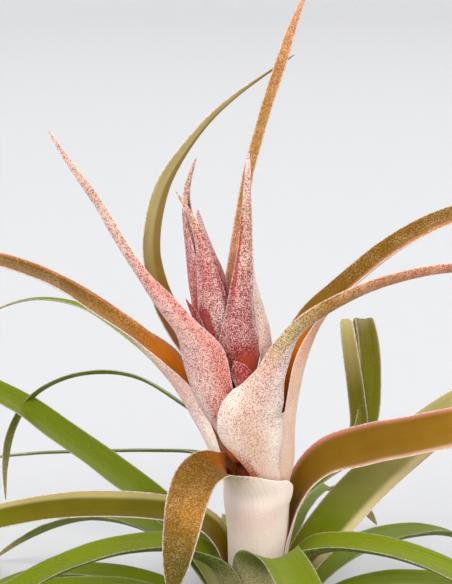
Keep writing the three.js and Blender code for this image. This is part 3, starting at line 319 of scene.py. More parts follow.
# Paint of each leaf, keyed by the share of its length. outer and inner are its colours from base
# to tip. cover and cover_inner say how closely the scales lie, where 0 is smooth skin without
# scales. A wash is (side, colour, strength, from and to along it, from and to across it), and
# across runs from -1 to 1, with 1 at the left margin of a bract that faces the viewer. fringe is
# how silvery the margins are.
PAINT = {
    "bract_right_spike_front": {
        "outer": {0: "wine", 0.08: "red", 0.2: "mauve", 0.4: "mauve", 0.56: "peach", 0.76: "peach",
                  0.9: "blush", 1: "lilac"},
        "inner": {0: "wine", 0.6: "rose", 1: "blush"},
        "cover": {0: 0.4, 0.14: 0.48, 0.45: 0.52, 0.8: 0.62, 1: 0.85},
        # Painted shade: the first red wash darkens the foot of the bract, where it sits in shade among the
        # bracts round it.
        "washes": [("outer", "red", 0.75, -0.1, 0.17, -1.3, 0.3),
                   ("outer", "red", 0.9, 0.36, 0.72, 0.56, 0.84),
                   ("outer", "lilac", 0.8, 0.1, 0.6, -1.3, -0.7),
                   ("outer", "lilac", 0.15, 0.2, 0.42, -0.7, 0.5),
                   ("outer", "amber", 0.35, -0.1, 0.14, -1.3, 0.1)],
    },
    "bract_left_spike_front": {
        "outer": {0: "red", 0.16: "rose", 0.3: "blush", 0.5: "rose", 0.66: "coral", 0.85: "apricot",
                  1: "peach"},
        "inner": {0: "wine", 0.4: "rose", 1: "blush"},
        "cover": {0: 0.5, 0.3: 0.56, 0.6: 0.5, 1: 0.8},
        # The first red wash is the crimson of the bract's foot, deepened there as painted shade; the coral
        # wash is a painted pool of light that brightens the shaded part of the foot.
        "washes": [("outer", "red", 0.9, -0.1, 0.34, 0.1, 1.2),
                   ("outer", "red", 0.7, 0.3, 0.5, -1.2, -0.75),
                   ("outer", "lilac", 0.45, 0.2, 0.9, -0.7, -0.35),
                   ("outer", "lilac", 0.5, 0.4, 0.95, 0.55, 1.2),
                   ("outer", "coral", 0.5, 0.05, 0.28, 0.3, 0.9)],
    },
    "bract_left_spike_keeled": {
        "outer": {0: "red", 0.2: "rose", 0.45: "rose", 0.8: "mauve", 1: "peach"},
        "inner": {0: "red", 0.35: "rose", 1: "mauve"},
        "cover": {0: 0.4, 0.5: 0.48, 1: 0.6},
        "cover_inner": {0: 0.4, 0.5: 0.48, 1: 0.6},
        "washes": [("outer", "red", 0.9, 0.0, 0.5, -1.2, -0.2),
                   ("outer", "lilac", 0.5, 0.4, 1.1, 0.4, 1.2)],
    },
    "bract_left_spike_right": {
        "outer": {0: "wine", 0.3: "red", 0.6: "rose", 1: "blush"},
        "inner": {0: "wine", 0.5: "rose", 1: "blush"},
        "cover": {0: 0.4, 0.5: 0.52, 1: 0.8},
    },
    "bract_left_spike_back": {
        "outer": {0: "wine", 0.5: "coral", 1: "peach"},
        "inner": {0: "wine", 0.5: "coral", 0.75: "peach", 1: "peach"},
        "cover": {0: 0.4, 0.5: 0.6, 1: 0.8},
        "cover_inner": {0: 0.4, 0.5: 0.5, 0.7: 0.75, 1: 0.8},
        # Painted shade: the rust wash darkens the slit between this bract and the others of the spike.
        "washes": [("inner", "rust", 0.95, 0.73, 0.8, 0.3, 1.2)],
    },
    "bract_right_spike_outer": {
        "outer": {0: "mauve", 0.2: "blush", 0.5: "cream", 1: "lilac"},
        "inner": {0: "wine", 1: "blush"},
        "cover": {0: 0.7, 0.2: 0.85, 0.6: 0.9, 1: 1},
        "cover_inner": {0: 0.6, 1: 0.9},
    },
    "bract_right_spike_back": {
        "outer": {0: "wine", 0.4: "mauve", 1: "blush"},
        "inner": {0: "wine", 1: "rose"},
        "cover": {0: 0.5, 1: 0.8},
    },
    "bud_coral": {
        "outer": {0: "wine", 0.4: "red", 0.8: "red", 1: "coral"},
        "inner": {0: "wine", 1: "red"},
        "cover": {0: 0.1, 0.5: 0.2, 1: 0.35},
        "washes": [("outer", "coral", 0.5, 0.2, 1.1, -0.2, 0.6),
                   ("outer", "lilac", 0.8, 0.2, 1.1, 0.75, 1.2)],
    },
    "bud_dark": {
        "outer": {0: "wine", 1: "red"},
        "inner": {0: "wine", 1: "red"},
        "cover": {0: 0.4, 1: 0.6},
        "washes": [("outer", "mauve", 0.6, 0.3, 1.1, 0.1, 1.2)],
    },
    "leaf_front": {
        "outer": {0: "cream", 0.1: "cream", 0.2: "cream", 0.28: "peach", 0.34: "moss", 0.46: "ochre",
                  0.65: "apricot", 1: "coral"},
        "inner": {0: "rust", 0.08: "amber", 0.3: "amber", 0.5: "ochre", 1: "coral"},
        "cover": {0: 0.95, 0.1: 0.9, 0.2: 0.8, 0.28: 0.7, 0.36: 0.6, 0.7: 0.6, 1: 0.6},
        "cover_inner": {0: 0, 0.3: 0.1, 0.5: 0.5, 1: 0.5},
        "washes": [("outer", "pearl", 0.9, 0.02, 0.26, -0.95, -0.42),
                   ("outer", "pearl", 0.55, 0.04, 0.2, 0.5, 1.2),
                   ("outer", "apricot", 0.4, 0.06, 0.2, -0.2, 0.3),
                   ("outer", "blush", 0.45, 0.16, 0.3, -0.3, 0.6),
                   ("outer", "lilac", 0.9, 0.24, 0.4, -1.2, -0.1),
                   ("outer", "amber", 0.9, -0.1, 0.075, 0.5, 1.3)],
    },
    "leaf_curled": {
        "outer": {0: "pearl", 0.34: "pearl", 0.44: "cream", 0.55: "ochre", 0.7: "olive", 1: "leaf"},
        # The rust low inside the sheath is the tissue's own colour, deepened as painted shade of the hollow.
        "inner": {0: "rust", 0.26: "rust", 0.31: "amber", 0.38: "ochre", 0.46: "bronze", 0.54: "bronze",
                  0.66: "ochre", 0.85: "olive", 1: "olive"},
        "cover": {0: 1, 0.36: 1, 0.45: 0.7, 1: 0.5},
        "cover_inner": {0: 0, 0.3: 0.02, 0.4: 0.06, 0.46: 0.4, 0.6: 0.42, 1: 0.3},
        "washes": [("outer", "blush", 0.35, 0.16, 0.26, -0.6, 0.4),
                   ("outer", "coral", 0.8, -0.1, 0.2, -1.3, -0.9),
                   ("inner", "amber", 0.7, 0.24, 0.44, -1.3, 1.3),
                   ("inner", "bronze", 0.4, 0.5, 1.1, 0.2, 1.3)],
    },
    "leaf_salmon": {
        # Painted shade: rust and amber without scales at the foot stand for the shade of the hollow between
        # the sheaths.
        "outer": {0: "rust", 0.035: "amber", 0.06: "blush", 0.15: "coral", 0.5: "coral", 0.65: "peach",
                  1: "peach"},
        "inner": {0: "amber", 1: "coral"},
        "cover": {0: 0, 0.03: 0.02, 0.06: 0.7, 0.3: 0.75, 0.5: 0.8, 0.7: 0.78, 1: 0.8},
        "washes": [("outer", "lilac", 0.95, 0.12, 0.38, 0.1, 1.2),
                   ("outer", "red", 0.75, 0.06, 0.24, -1.2, -0.68),
                   ("outer", "blush", 0.8, 0.2, 0.5, -0.4, 1.2),
                   ("outer", "lilac", 0.5, 0.5, 1.1, 0.2, 1.2)],
    },
    "leaf_right": {
        "outer": {0: "cream", 0.2: "cream", 0.35: "peach", 0.5: "apricot", 1: "ochre"},
        # Painted shade: the inner side stays dark rust up to a fifth of its length and turns amber later, a
        # shaded copy of the amber that leaf_left's inner side shows lit.
        "inner": {0: "rust", 0.2: "rust", 0.3: "amber", 0.38: "bronze", 0.8: "bronze", 1: "rust"},
        "cover": {0: 0.97, 0.3: 0.9, 0.5: 0.7, 1: 0.6},
        "cover_inner": {0: 0, 0.34: 0.02, 0.5: 0.3, 1: 0.4},
        "washes": [("outer", "apricot", 0.32, -0.1, 0.4, -1.3, 1.3),
                   ("inner", "apricot", 0.6, 0.36, 1.1, 0.6, 1.3)],
    },
    "leaf_left": {
        # Painted shade: the rust foot without scales stands for the shade of the hollow inside the curled
        # leaf's sheath.
        "outer": {0: "rust", 0.05: "rust", 0.09: "pearl", 0.14: "pearl", 0.24: "blush", 0.36: "cream",
                  0.5: "cream", 1: "ochre"},
        "inner": {0: "rust", 0.08: "amber", 0.25: "amber", 0.4: "ochre", 0.55: "bronze", 0.75: "bronze",
                  0.9: "rust", 1: "rust"},
        "cover": {0: 0, 0.05: 0.02, 0.09: 0.9, 0.16: 0.82, 0.3: 0.8, 1: 0.6},
        "cover_inner": {0: 0, 0.22: 0.02, 0.36: 0.3, 0.5: 0.42, 1: 0.5},
        "washes": [("inner", "apricot", 0.6, 0.1, 0.9, 0.72, 1.3),
                   # This amber wash is the inner base's own colour, made brighter as painted light;
                   # leaf_right shows the same base darker as painted shade.
                   ("inner", "amber", 0.7, 0.08, 0.34, -0.8, 0.8)],
    },
    "leaf_behind_head": {
        "outer": {0: "amber", 0.5: "ochre", 1: "apricot"},
        "inner": {0: "wine", 0.18: "red", 0.26: "apricot", 0.38: "apricot", 0.5: "ochre", 0.7: "ochre",
                  1: "apricot"},
        "cover": {0: 0.4, 0.5: 0.5, 1: 0.5},
        "cover_inner": {0: 0.4, 0.5: 0.5, 1: 0.55},
    },
    "leaf_back_left": {
        "outer": {0: "bronze", 0.4: "bronze", 0.6: "moss", 1: "bronze"},
        "inner": {0: "rust", 0.2: "rust", 0.38: "bronze", 0.55: "moss", 0.85: "moss", 1: "bronze"},
        "cover": {0: 0, 1: 0.1},
        "cover_inner": {0: 0, 1: 0.1},
        "washes": [("inner", "bronze", 0.7, 0.3, 1.1, 0.3, 1.3),
                   ("outer", "bronze", 0.7, 0.3, 1.1, 0.3, 1.3)],
    },
    "leaf_lower_right": {
        "outer": {0: "pearl", 0.3: "cream", 0.6: "peach", 1: "ochre"},
        "inner": {0: "rust", 0.12: "bronze", 0.4: "bronze", 1: "ochre"},
        "cover": {0: 1, 0.4: 0.95, 1: 0.7},
        "cover_inner": {0: 0, 0.4: 0.02, 1: 0.06},
        "washes": [("inner", "coral", 0.8, 0.1, 1.1, -1.3, -0.9),
                   ("inner", "peach", 0.7, 0.05, 1.1, 0.84, 1.3)],
    },
    "leaf_behind_lower_right": {
        "outer": {0: "pearl", 0.4: "straw", 1: "moss"},
        "inner": {0: "bronze", 0.2: "leaf", 0.4: "moss", 0.8: "moss", 1: "leaf"},
        "cover": {0: 1, 0.4: 0.9, 1: 0.7},
        "cover_inner": {0: 0, 1: 0.05},
        "washes": [("inner", "straw", 0.9, 0.1, 0.9, 0.6, 1.3),
                   ("inner", "leaf", 0.3, 0.1, 1.1, -0.9, 0.5)],
    },
    "leaf_lower_left": {
        "outer": {0: "pearl", 0.4: "straw", 1: "moss"},
        "inner": {0: "bronze", 0.2: "olive", 0.6: "olive", 1: "leaf"},
        "cover": {0: 1, 0.4: 0.9, 1: 0.7},
        "cover_inner": {0: 0, 1: 0.08},
        "washes": [("inner", "moss", 0.7, 0.1, 0.9, 0.66, 1.3)],
    },
    "leaf_upright_right": {
        "outer": {0: "straw", 0.2: "leaf", 0.7: "olive", 1: "moss"},
        "inner": {0: "straw", 0.2: "leaf", 0.7: "olive", 1: "moss"},
        "cover": {0: 0.8, 0.3: 0.5, 1: 0.4},
        "cover_inner": {0: 0.1, 1: 0.15},
        "fringe": 0.25,
    },
}
PAINT["leaf_upright_behind"] = PAINT["leaf_upright_right"]

# Paint of the other leaves of the rosette, also the low ones.
GREEN_PAINT = {
    "outer": {0: "straw", 0.15: "leaf", 0.8: "leaf", 1: "moss"},
    "inner": {0: "straw", 0.12: "leaf", 0.85: "leaf", 0.96: "ochre", 1: "rust"},
    "cover": {0: 0.8, 0.3: 0.5, 1: 0.4},
    "cover_inner": {0: 0.1, 1: 0.15},
    "fringe": 0.25,
}


def linear(code):
    """Scene-linear colour of a six-digit sRGB code."""
    parts = np.array([int(code[i : i + 2], 16) for i in (0, 2, 4)]) / 255
    curve = np.where(parts < 0.04045, parts / 12.92, ((parts + 0.055) / 1.055) ** 2.4)
    return tuple(float(c) for c in curve)


def colour_property(name, words, code):
    """A colour whose default is a six-digit sRGB code."""
    return FloatVectorProperty(
        name=name, description=words, default=linear(code), subtype="COLOR", size=3, min=0, max=1,
    )


def length_property(name, words, length, least):
    """A length whose default and least value are given in millimetres."""
    return FloatProperty(
        name=name, description=words, default=length * MM, min=least * MM, subtype="DISTANCE", unit="LENGTH",
    )


class PlantSizes(bpy.types.PropertyGroup):
    """Sizes that the fine surfaces are made with."""

    margin: length_property("Margin", "Thickness of a leaf at its margins", 0.16, 0.05)
    midrib: length_property("Midrib", "Thickness of a leaf along its middle", 0.9, 0.3)
    scale_width: length_property("Scale width", "Width of one silver scale", 0.21, 0.1)
    rib_pitch: length_property("Rib pitch", "Distance between the veins of a leaf", 1.3, 0.4)
    hair_length: length_property("Hair length", "Longest silver hair along a margin", 0.22, 0.1)
    hairs_per_mm: FloatProperty(
        name="Hairs", description="Hairs for each millimetre of margin", default=2.5, min=0,
    )
    columns: IntProperty(name="Columns", description="Faces across a leaf", default=30, min=8)
    stations: IntProperty(name="Stations", description="Faces along a flower leaf", default=190, min=20)


class PlantColours(bpy.types.PropertyGroup):
    """Colours of the leaf tissue under the silver scales."""

    silver: colour_property("Silver", "The scales and the fringe of the margins", "f4e9e2")
    lilac: colour_property("Lilac", "Whitish lilac of the closest scales on the head", "e4cecb")
    pearl: colour_property("Pearl", "Pale cream of the lowest sheaths", "f4e0d4")
    cream: colour_property("Cream", "Cream of the sheaths", "e5ccb8")
    blush: colour_property("Blush", "Pale pink of the bracts and the salmon leaf", "e2b7ad")
    peach: colour_property("Peach", "Peach of the bract tips", "d3a78f")
    apricot: colour_property("Apricot", "Apricot of the leaf backs and tips", "cf8f62")
    coral: colour_property("Coral", "Coral of the salmon leaf and the bract tips", "dc8979")
    rose: colour_property("Rose", "Rose of the coral bracts", "dd847c")
    mauve: colour_property("Mauve", "Mauve of the large bract", "cc8680")
    red: colour_property("Red", "Red in the folds of the bracts", "cb4340")
    wine: colour_property("Wine", "Deep red of the bract bases", "9a2a2f")
    # Amber is the smooth inner bases' own colour, made brighter than the tissue as painted light.
    amber: colour_property("Amber", "Amber of the smooth leaf bases inside", "d47812")
    ochre: colour_property("Ochre", "Golden ochre of the leaves", "a8781f")
    # Rust is the own colour of the dry leaf tips, and also painted shade deep inside the sheaths and in the
    # slits between bracts.
    rust: colour_property("Rust", "Dark rust inside the sheaths", "7c2d04")
    bronze: colour_property("Bronze", "Olive brown of the leaves", "7b590a")
    olive: colour_property("Olive", "Olive of the lower leaves", "5e5502")
    moss: colour_property("Moss", "Pale olive where light comes through a blade", "bcae74")
    leaf: colour_property("Leaf green", "Green of the rosette", "6b7a05")
    straw: colour_property("Straw", "Pale yellow of the leaf margins", "dacb98")
    bark: colour_property("Bark", "Brown of the stem stub", "5b4330")
    floor: colour_property("Floor", "Pale studio floor", "bababb")


def sizes():
    return bpy.context.scene.air_plant_sizes


def tint(name):
    """A colour of the plant as an array."""
    return np.array(getattr(bpy.context.scene.air_plant_colours, name))


def smooth(x):
    """Smoothstep: 3x^2 - 2x^3 on 0 to 1."""
    t = np.clip(x, 0.0, 1.0)
    return t * t * (3 - 2 * t)


def window(x, low, high, soft):
    """1 between low and high, falling smoothly to 0 over soft at both ends."""
    return smooth((x - low) / soft + 0.5) * (1 - smooth((x - high) / soft + 0.5))


def profile(keys, s):
    """Smooth curve through the values of the keys, a dict by place, at the places s, flat at its peaks.

    Between two keys it is the cubic with the end slopes m, where m at a key is the harmonic mean of
    the two chords beside it, or 0 where they differ in sign."""
    x, y = np.array(list(keys), float), np.array(list(keys.values()), float)
    chord = np.diff(y) / np.diff(x)
    before, after = chord[:-1], chord[1:]
    same = before * after > 0
    inner = np.where(same, 2 * before * after / np.where(same, before + after, 1), 0)
    slope = np.concatenate([chord[:1], inner, chord[-1:]])
    s = np.clip(s, x[0], x[-1])
    i = np.clip(np.searchsorted(x, s) - 1, 0, len(chord) - 1)
    span = x[i + 1] - x[i]
    t = (s - x[i]) / span
    rise = y[i + 1] - y[i]
    a, b = slope[i] * span, slope[i + 1] * span
    return y[i] + t * (a + t * ((3 * rise - 2 * a - b) + t * (a + b - 2 * rise)))


def wander(rng, *coordinates, waves=5, reach=1.0):
    """Smooth random surface: the mean of sines along random directions of the coordinates."""
    total = 0.0
    for _ in range(waves):
        turns = rng.normal(size=len(coordinates)) * reach
        phase = sum(c * k for c, k in zip(coordinates, turns)) + rng.uniform(0, 2 * math.pi)
        total = total + np.sin(phase)
    return total / waves


def spline(points):
    """Centripetal Catmull-Rom curve through the points, as a function of arc length share.

    Each stretch is the Hermite cubic whose end slopes come from knots spaced by the square root of
    the chord. Returns (place(s), direction(s), length)."""
    p = np.asarray(points, float)
    p = np.vstack([2 * p[0] - p[1], p, 2 * p[-1] - p[-2]])
    knot = np.sqrt(np.linalg.norm(np.diff(p, axis=0), axis=1))[:, None]
    d0, d1, d2 = knot[:-2], knot[1:-1], knot[2:]
    x0, x1, x2, x3 = p[:-3], p[1:-2], p[2:-1], p[3:]
    leave = ((x1 - x0) / d0 - (x2 - x0) / (d0 + d1) + (x2 - x1) / d1) * d1
    arrive = ((x2 - x1) / d1 - (x3 - x1) / (d1 + d2) + (x3 - x2) / d2) * d1
    u = np.linspace(0, len(x1), 3001)
    i = np.minimum(u.astype(int), len(x1) - 1)
    t = (u - i)[:, None]
    cubic = 2 * (x1[i] - x2[i]) + leave[i] + arrive[i]
    square = -3 * (x1[i] - x2[i]) - 2 * leave[i] - arrive[i]
    curve = x1[i] + t * (leave[i] + t * (square + t * cubic))
    along = np.concatenate([[0], np.cumsum(np.linalg.norm(np.diff(curve, axis=0), axis=1))])
    length = along[-1]

    def place(s):
        return np.stack([np.interp(s * length, along, curve[:, k]) for k in range(3)], -1)

    def direction(s):
        step = place(np.minimum(s + 0.002, 1)) - place(np.maximum(s - 0.002, 0))
        return step / np.linalg.norm(step, axis=-1, keepdims=True)

    return place, direction, length


def compass(degrees):
    """Level unit vectors from compass angles, 0 to the right and -90 towards the viewer."""
    turn = np.radians(degrees)
    return np.stack([np.cos(turn), np.sin(turn), np.zeros_like(turn)], -1)


def lean(z):
    """Sideways place of the stem's axis at the heights z."""
    return -LEAN * np.maximum(0, (np.asarray(z, float) - LEAN_START) / (FORK_HEIGHT - LEAN_START)) ** 1.7


def arch_leaf(group, angle, height, length, swing, end):
    """Spine and inner side of a leaf that leaves the stub steeply and arches over.

    The spine adds up 48 equal steps whose angle from the vertical follows tilt, and then sinks by
    drop * share^2 so that its tip lies at the height end. The inner side is square to the spine and
    turned up."""
    steps = 48
    s = (np.arange(steps) + 0.5) / steps
    lay = np.radians(profile(group["tilt"], s))
    step = compass(angle + swing * s * s) * np.sin(lay)[:, None]
    step[:, 2] = np.cos(lay)
    start = compass(np.array(angle, float)) * (profile(STEM_RADIUS, height) + GAP + MIDRIB_ROOM)
    start[2] = height
    walk = np.vstack([start, start + np.cumsum(step, axis=0) * length / steps])[::6]
    share = np.linspace(0, 1, len(walk))
    walk[:, 2] -= (walk[-1, 2] - end) * share**2
    places = np.linspace(0, 1, 6)
    t = spline(walk)[1](places)
    flat = t * [1, 1, 0]
    flat /= np.linalg.norm(flat, axis=1, keepdims=True)
    side = np.stack([flat[:, 1], -flat[:, 0], np.zeros(6)], -1)
    faces = dict(zip(places, np.cross(side, t)))
    return {"spine": walk, "faces": faces, "width": group["width"], "arc": group["arc"]}


def skirt_leaf(k):
    angle, height = SKIRT["angles"][k], SKIRT["heights"][k]
    return arch_leaf(SKIRT, angle, height, SKIRT["length"], SKIRT["swing"], SKIRT["end"])


def ring_leaf(k):
    """Leaf k turns on from the one above it, and is a little lower and shorter."""
    share = k / (RING["count"] - 1)
    length = RING["longest"] + (RING["shortest"] - RING["longest"]) * share
    swing = RING["swing"] if k % 2 == 0 else -RING["swing"]
    angle = RING["first_angle"] + RING["turn"] * k
    return arch_leaf(RING, angle, RING["top"] - RING["fall"] * k, length, swing, 0)


def leaf_grid(leaf, columns, stations, rng):
    """Outer and inner surface of a leaf, as grids of points in millimetres.

    At the share s of the spine the section is an arc of the half width w, bent to the angle a about
    a centre at the distance 2w/a on the inner side. Its wall is the midrib's thickness in the middle
    and thins with the fourth power of the place across towards the margins. Ribs two veins apart, a
    slow roll of the blade and a slight wave of the margins, all less where the leaf is narrow, are
    added along the section's own normal."""
    edge, rib = sizes().margin / MM, sizes().midrib / MM
    place, direction, length = spline(leaf["spine"])
    s = np.linspace(0, 1, stations + 1) ** 1.1
    v = np.sin(np.linspace(-0.5, 0.5, columns + 1) * math.pi * CROWDING)
    v /= math.sin(CROWDING / 2 * math.pi)
    middle, tangent = place(s), direction(s)
    face = np.stack([profile({p: f[k] for p, f in leaf["faces"].items()}, s) for k in range(3)], -1)
    normal = face - tangent * np.sum(face * tangent, 1, keepdims=True)
    normal /= np.linalg.norm(normal, axis=1, keepdims=True)
    side = np.cross(tangent, normal)
    tip = np.clip((1 - s) * length / TIP_LENGTH, 0, 1) ** 0.5
    half = profile(leaf["width"], s) * np.maximum(tip, 0.06) * (1 + 0.02 * wander(rng, s, reach=14))
    arc = np.minimum(np.radians(profile(leaf["arc"], s)), 2 * half / TIGHTEST)
    radius = 2 * half / arc
    S, V = np.meshgrid(s, v, indexing="ij")
    H = half[:, None] * np.ones_like(V)
    offset = V * H
    turn = V * arc[:, None] / 2
    inward = normal[:, None] * np.cos(turn)[..., None] - side[:, None] * np.sin(turn)[..., None]
    centre = middle + normal * radius[:, None]
    surface = centre[:, None] - inward * radius[:, None, None]
    wide = smooth(H / 4)
    roll = ROLL * wander(rng, S * length / 9, V * 1.2) * wide
    ripple = RIPPLE * np.abs(V) ** 6 * wander(rng, S * length / 5, V, reach=1.4) * wide
    wave = np.cos(math.pi * offset / (sizes().rib_pitch / MM) + wander(rng, S * 5))
    ribs = RIB_HEIGHT * wave * (1 - np.abs(V) ** 8) * wide
    lift = (roll + ripple) * smooth(S / 0.1)
    thick = edge + (rib - edge) * (1 - V**4) * np.minimum(1, H / 2) * np.maximum(tip, 0.2)[:, None]
    outer = surface + inward * (lift - ribs)[..., None]
    inner = surface + inward * (lift + ribs + thick)[..., None]
    return {"outer": outer, "inner": inner, "s": S, "v": V, "half": H, "offset": offset, "length": length}


def sheet_faces(rows, columns):
    """Quads of a closed sheet between two like grids of rows by columns points, faces outwards."""
    shift = rows * columns
    j, i = np.meshgrid(np.arange(columns - 1), np.arange(rows - 1) * columns)
    a = (i + j).ravel()
    outer = np.stack([a, a + columns, a + columns + 1, a + 1], 1)
    inner = shift + np.stack([a, a + 1, a + columns + 1, a + columns], 1)
    low = np.arange(rows - 1) * columns
    high = low + columns - 1
    right = np.stack([low, shift + low, shift + low + columns, low + columns], 1)
    left = np.stack([high, high + columns, shift + high + columns, shift + high], 1)
    first = np.arange(columns - 1)
    last = first + (rows - 1) * columns
    foot = np.stack([first, first + 1, shift + first + 1, shift + first], 1)
    tip = np.stack([last, shift + last, shift + last + 1, last + 1], 1)
    return np.concatenate([outer, inner, right, left, foot, tip])


def along_leaf(keys, s):
    """Colour along a leaf: the named colours of the keys, mixed evenly between their places."""
    colours = np.array([tint(name) for name in keys.values()])
    return np.stack([np.interp(s, list(keys), colours[:, k]) for k in range(3)], -1)


def painted(paint, grid, rng):
    """Tissue colour and scale cover of both sides of a leaf.

    The keyed colours are looked up at places that wander a little, each wash is mixed in by the
    product of its two windows, with fewer scales where its colour is one of BARE, and the margins
    above the base take the silver of their fringe."""
    s, v, half = grid["s"], grid["v"], grid["half"]
    shift_s = s + 0.02 * wander(rng, s * 9, v * 2.5)
    shift_v = v + 0.09 * wander(rng, s * 14, v * 1.5)
    # The fringe paints the margins pale: partly the silver of their hairs and partly painted light, the glow
    # of their thin translucent edges. It is kept off the foot, so that the painted shade there stays.
    rim = 1 - smooth((1 - np.abs(v)) * half / np.minimum(FRINGE_WIDTH, 0.16 * half))
    rim = rim * smooth((s - 0.05) / 0.05)
    fringe = paint.get("fringe", 0.5)
    shade = 1 + 0.05 * rng.normal()
    tissue, cover = [], []
    for side in ("outer", "inner"):
        colour = along_leaf(paint[side], shift_s) * shade
        closeness = profile(paint["cover" if side == "outer" else "cover_inner"], shift_s)
        washes = [wash[1:] for wash in paint.get("washes", ()) if wash[0] == side]
        for name, strength, s0, s1, v0, v1 in washes:
            amount = strength * window(shift_s, s0, s1, 0.1) * window(shift_v, v0, v1, 0.25)
            colour = colour + (tint(name) - colour) * amount[..., None]
            if name in BARE:
                closeness = closeness * (1 - THINNED * amount)
        colour = colour + (tint("silver") - colour) * (fringe * rim)[..., None]
        tissue.append(colour)
        cover.append(closeness + (1 - closeness) * rim * 1.2 * fringe)
    return np.stack(tissue), np.stack(cover)


def add_mesh(name, points, faces, material, layers=None, replaced=()):
    """Makes one piece from points in millimetres and a list of faces, and rides it on the plant.

    layers holds a colour or a number for each point, by the name of the attribute, and replaced
    names the nodes of the frame that the piece stands for."""
    mesh = bpy.data.meshes.new(name)
    mesh.from_pydata((points.reshape(-1, 3) * MM).tolist(), [], faces)
    mesh.polygons.foreach_set("use_smooth", np.ones(len(mesh.polygons), bool))
    for layer, values in (layers or {}).items():
        if values.shape[-1] == 3 and values.ndim > 1:
            rgba = np.concatenate([values.reshape(-1, 3), np.ones((values.size // 3, 1))], 1)
            attribute = mesh.attributes.new(layer, "FLOAT_COLOR", "POINT")
            attribute.data.foreach_set("color", rgba.astype(np.float32).ravel())
        else:
            attribute = mesh.attributes.new(layer, "FLOAT", "POINT")
            attribute.data.foreach_set("value", values.astype(np.float32).ravel())
    mesh.materials.append(material)
    piece = bpy.data.objects.new(name, mesh)
    bpy.context.scene.collection.objects.link(piece)
    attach(piece, "root")
    if replaced:
        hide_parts(*replaced)
    return piece


class Wire:
    """A shader socket in Python arithmetic. Each operator adds one Math node."""

    def __init__(self, paint, socket):
        self.paint = paint
        self.socket = socket

    def maths(self, operation, *values, clamp=False):
        return self.paint.node("Math", {"operation": operation, "use_clamp": clamp}, dict(enumerate(values)))

    def __add__(self, other):
        return self.maths("ADD", self, other)

    def __sub__(self, other):
        return self.maths("SUBTRACT", self, other)

    def __rsub__(self, other):
        return self.maths("SUBTRACT", other, self)

    def __mul__(self, other):
        return self.maths("MULTIPLY", self, other)

    __radd__ = __add__
    __rmul__ = __mul__

    def clamped(self):
        return self.maths("ADD", self, 0.0, clamp=True)

    def sine(self):
        return self.maths("SINE", self)


class Paint:
    """A material with a Principled shader, built node by node.

    uniform sets sockets of the shader that don't vary, by their names in small letters."""

    def __init__(self, name, **uniform):
        self.material = bpy.data.materials.new(name)
        self.material.use_nodes = True
        self.tree = self.material.node_tree
        self.shader = self.tree.nodes["Principled BSDF"]
        for socket, value in uniform.items():
            self.shader.inputs[socket.replace("_", " ").title().replace("Ior", "IOR")].default_value = value

    def put(self, socket, value):
        if isinstance(value, Wire):
            self.tree.links.new(value.socket, socket)
        elif socket.type == "RGBA" and len(value) == 3:
            socket.default_value = (*value, 1.0)
        else:
            socket.default_value = value

    def node(self, kind, settings=None, values=None, output=0):
        """Adds one node. Its settings come first, and then the values or links of its sockets."""
        node = self.tree.nodes.new("ShaderNode" + kind)
        for setting, value in (settings or {}).items():
            setattr(node, setting, value)
        for socket, value in (values or {}).items():
            self.put(node.inputs[socket], value)
        return Wire(self, node.outputs[output])

    def mix(self, amount, low, high, blend_type="MIX"):
        """Colour mix: low where amount is 0, high where it is 1."""
        settings = {"data_type": "RGBA", "blend_type": blend_type}
        return self.node("Mix", settings, {0: amount, 6: low, 7: high}, output=2)

    def ramp(self, value, low, high):
        """0 below low, 1 above high, smooth between."""
        settings = {"interpolation_type": "SMOOTHSTEP"}
        return self.node("MapRange", settings, {"Value": value, "From Min": low, "From Max": high})

    def attribute(self, name, output="Fac"):
        return self.node("Attribute", {"attribute_name": name}, output=output)

    def finish(self, colour, roughness, height, depth):
        """Links the colour, the roughness and a bump of the given depth in metres."""
        self.put(self.shader.inputs["Base Color"], colour)
        self.put(self.shader.inputs["Roughness"], roughness)
        bump = self.node("Bump", {}, {"Height": height, "Strength": 1.0, "Distance": depth})
        self.put(self.shader.inputs["Normal"], bump)
        return self.material


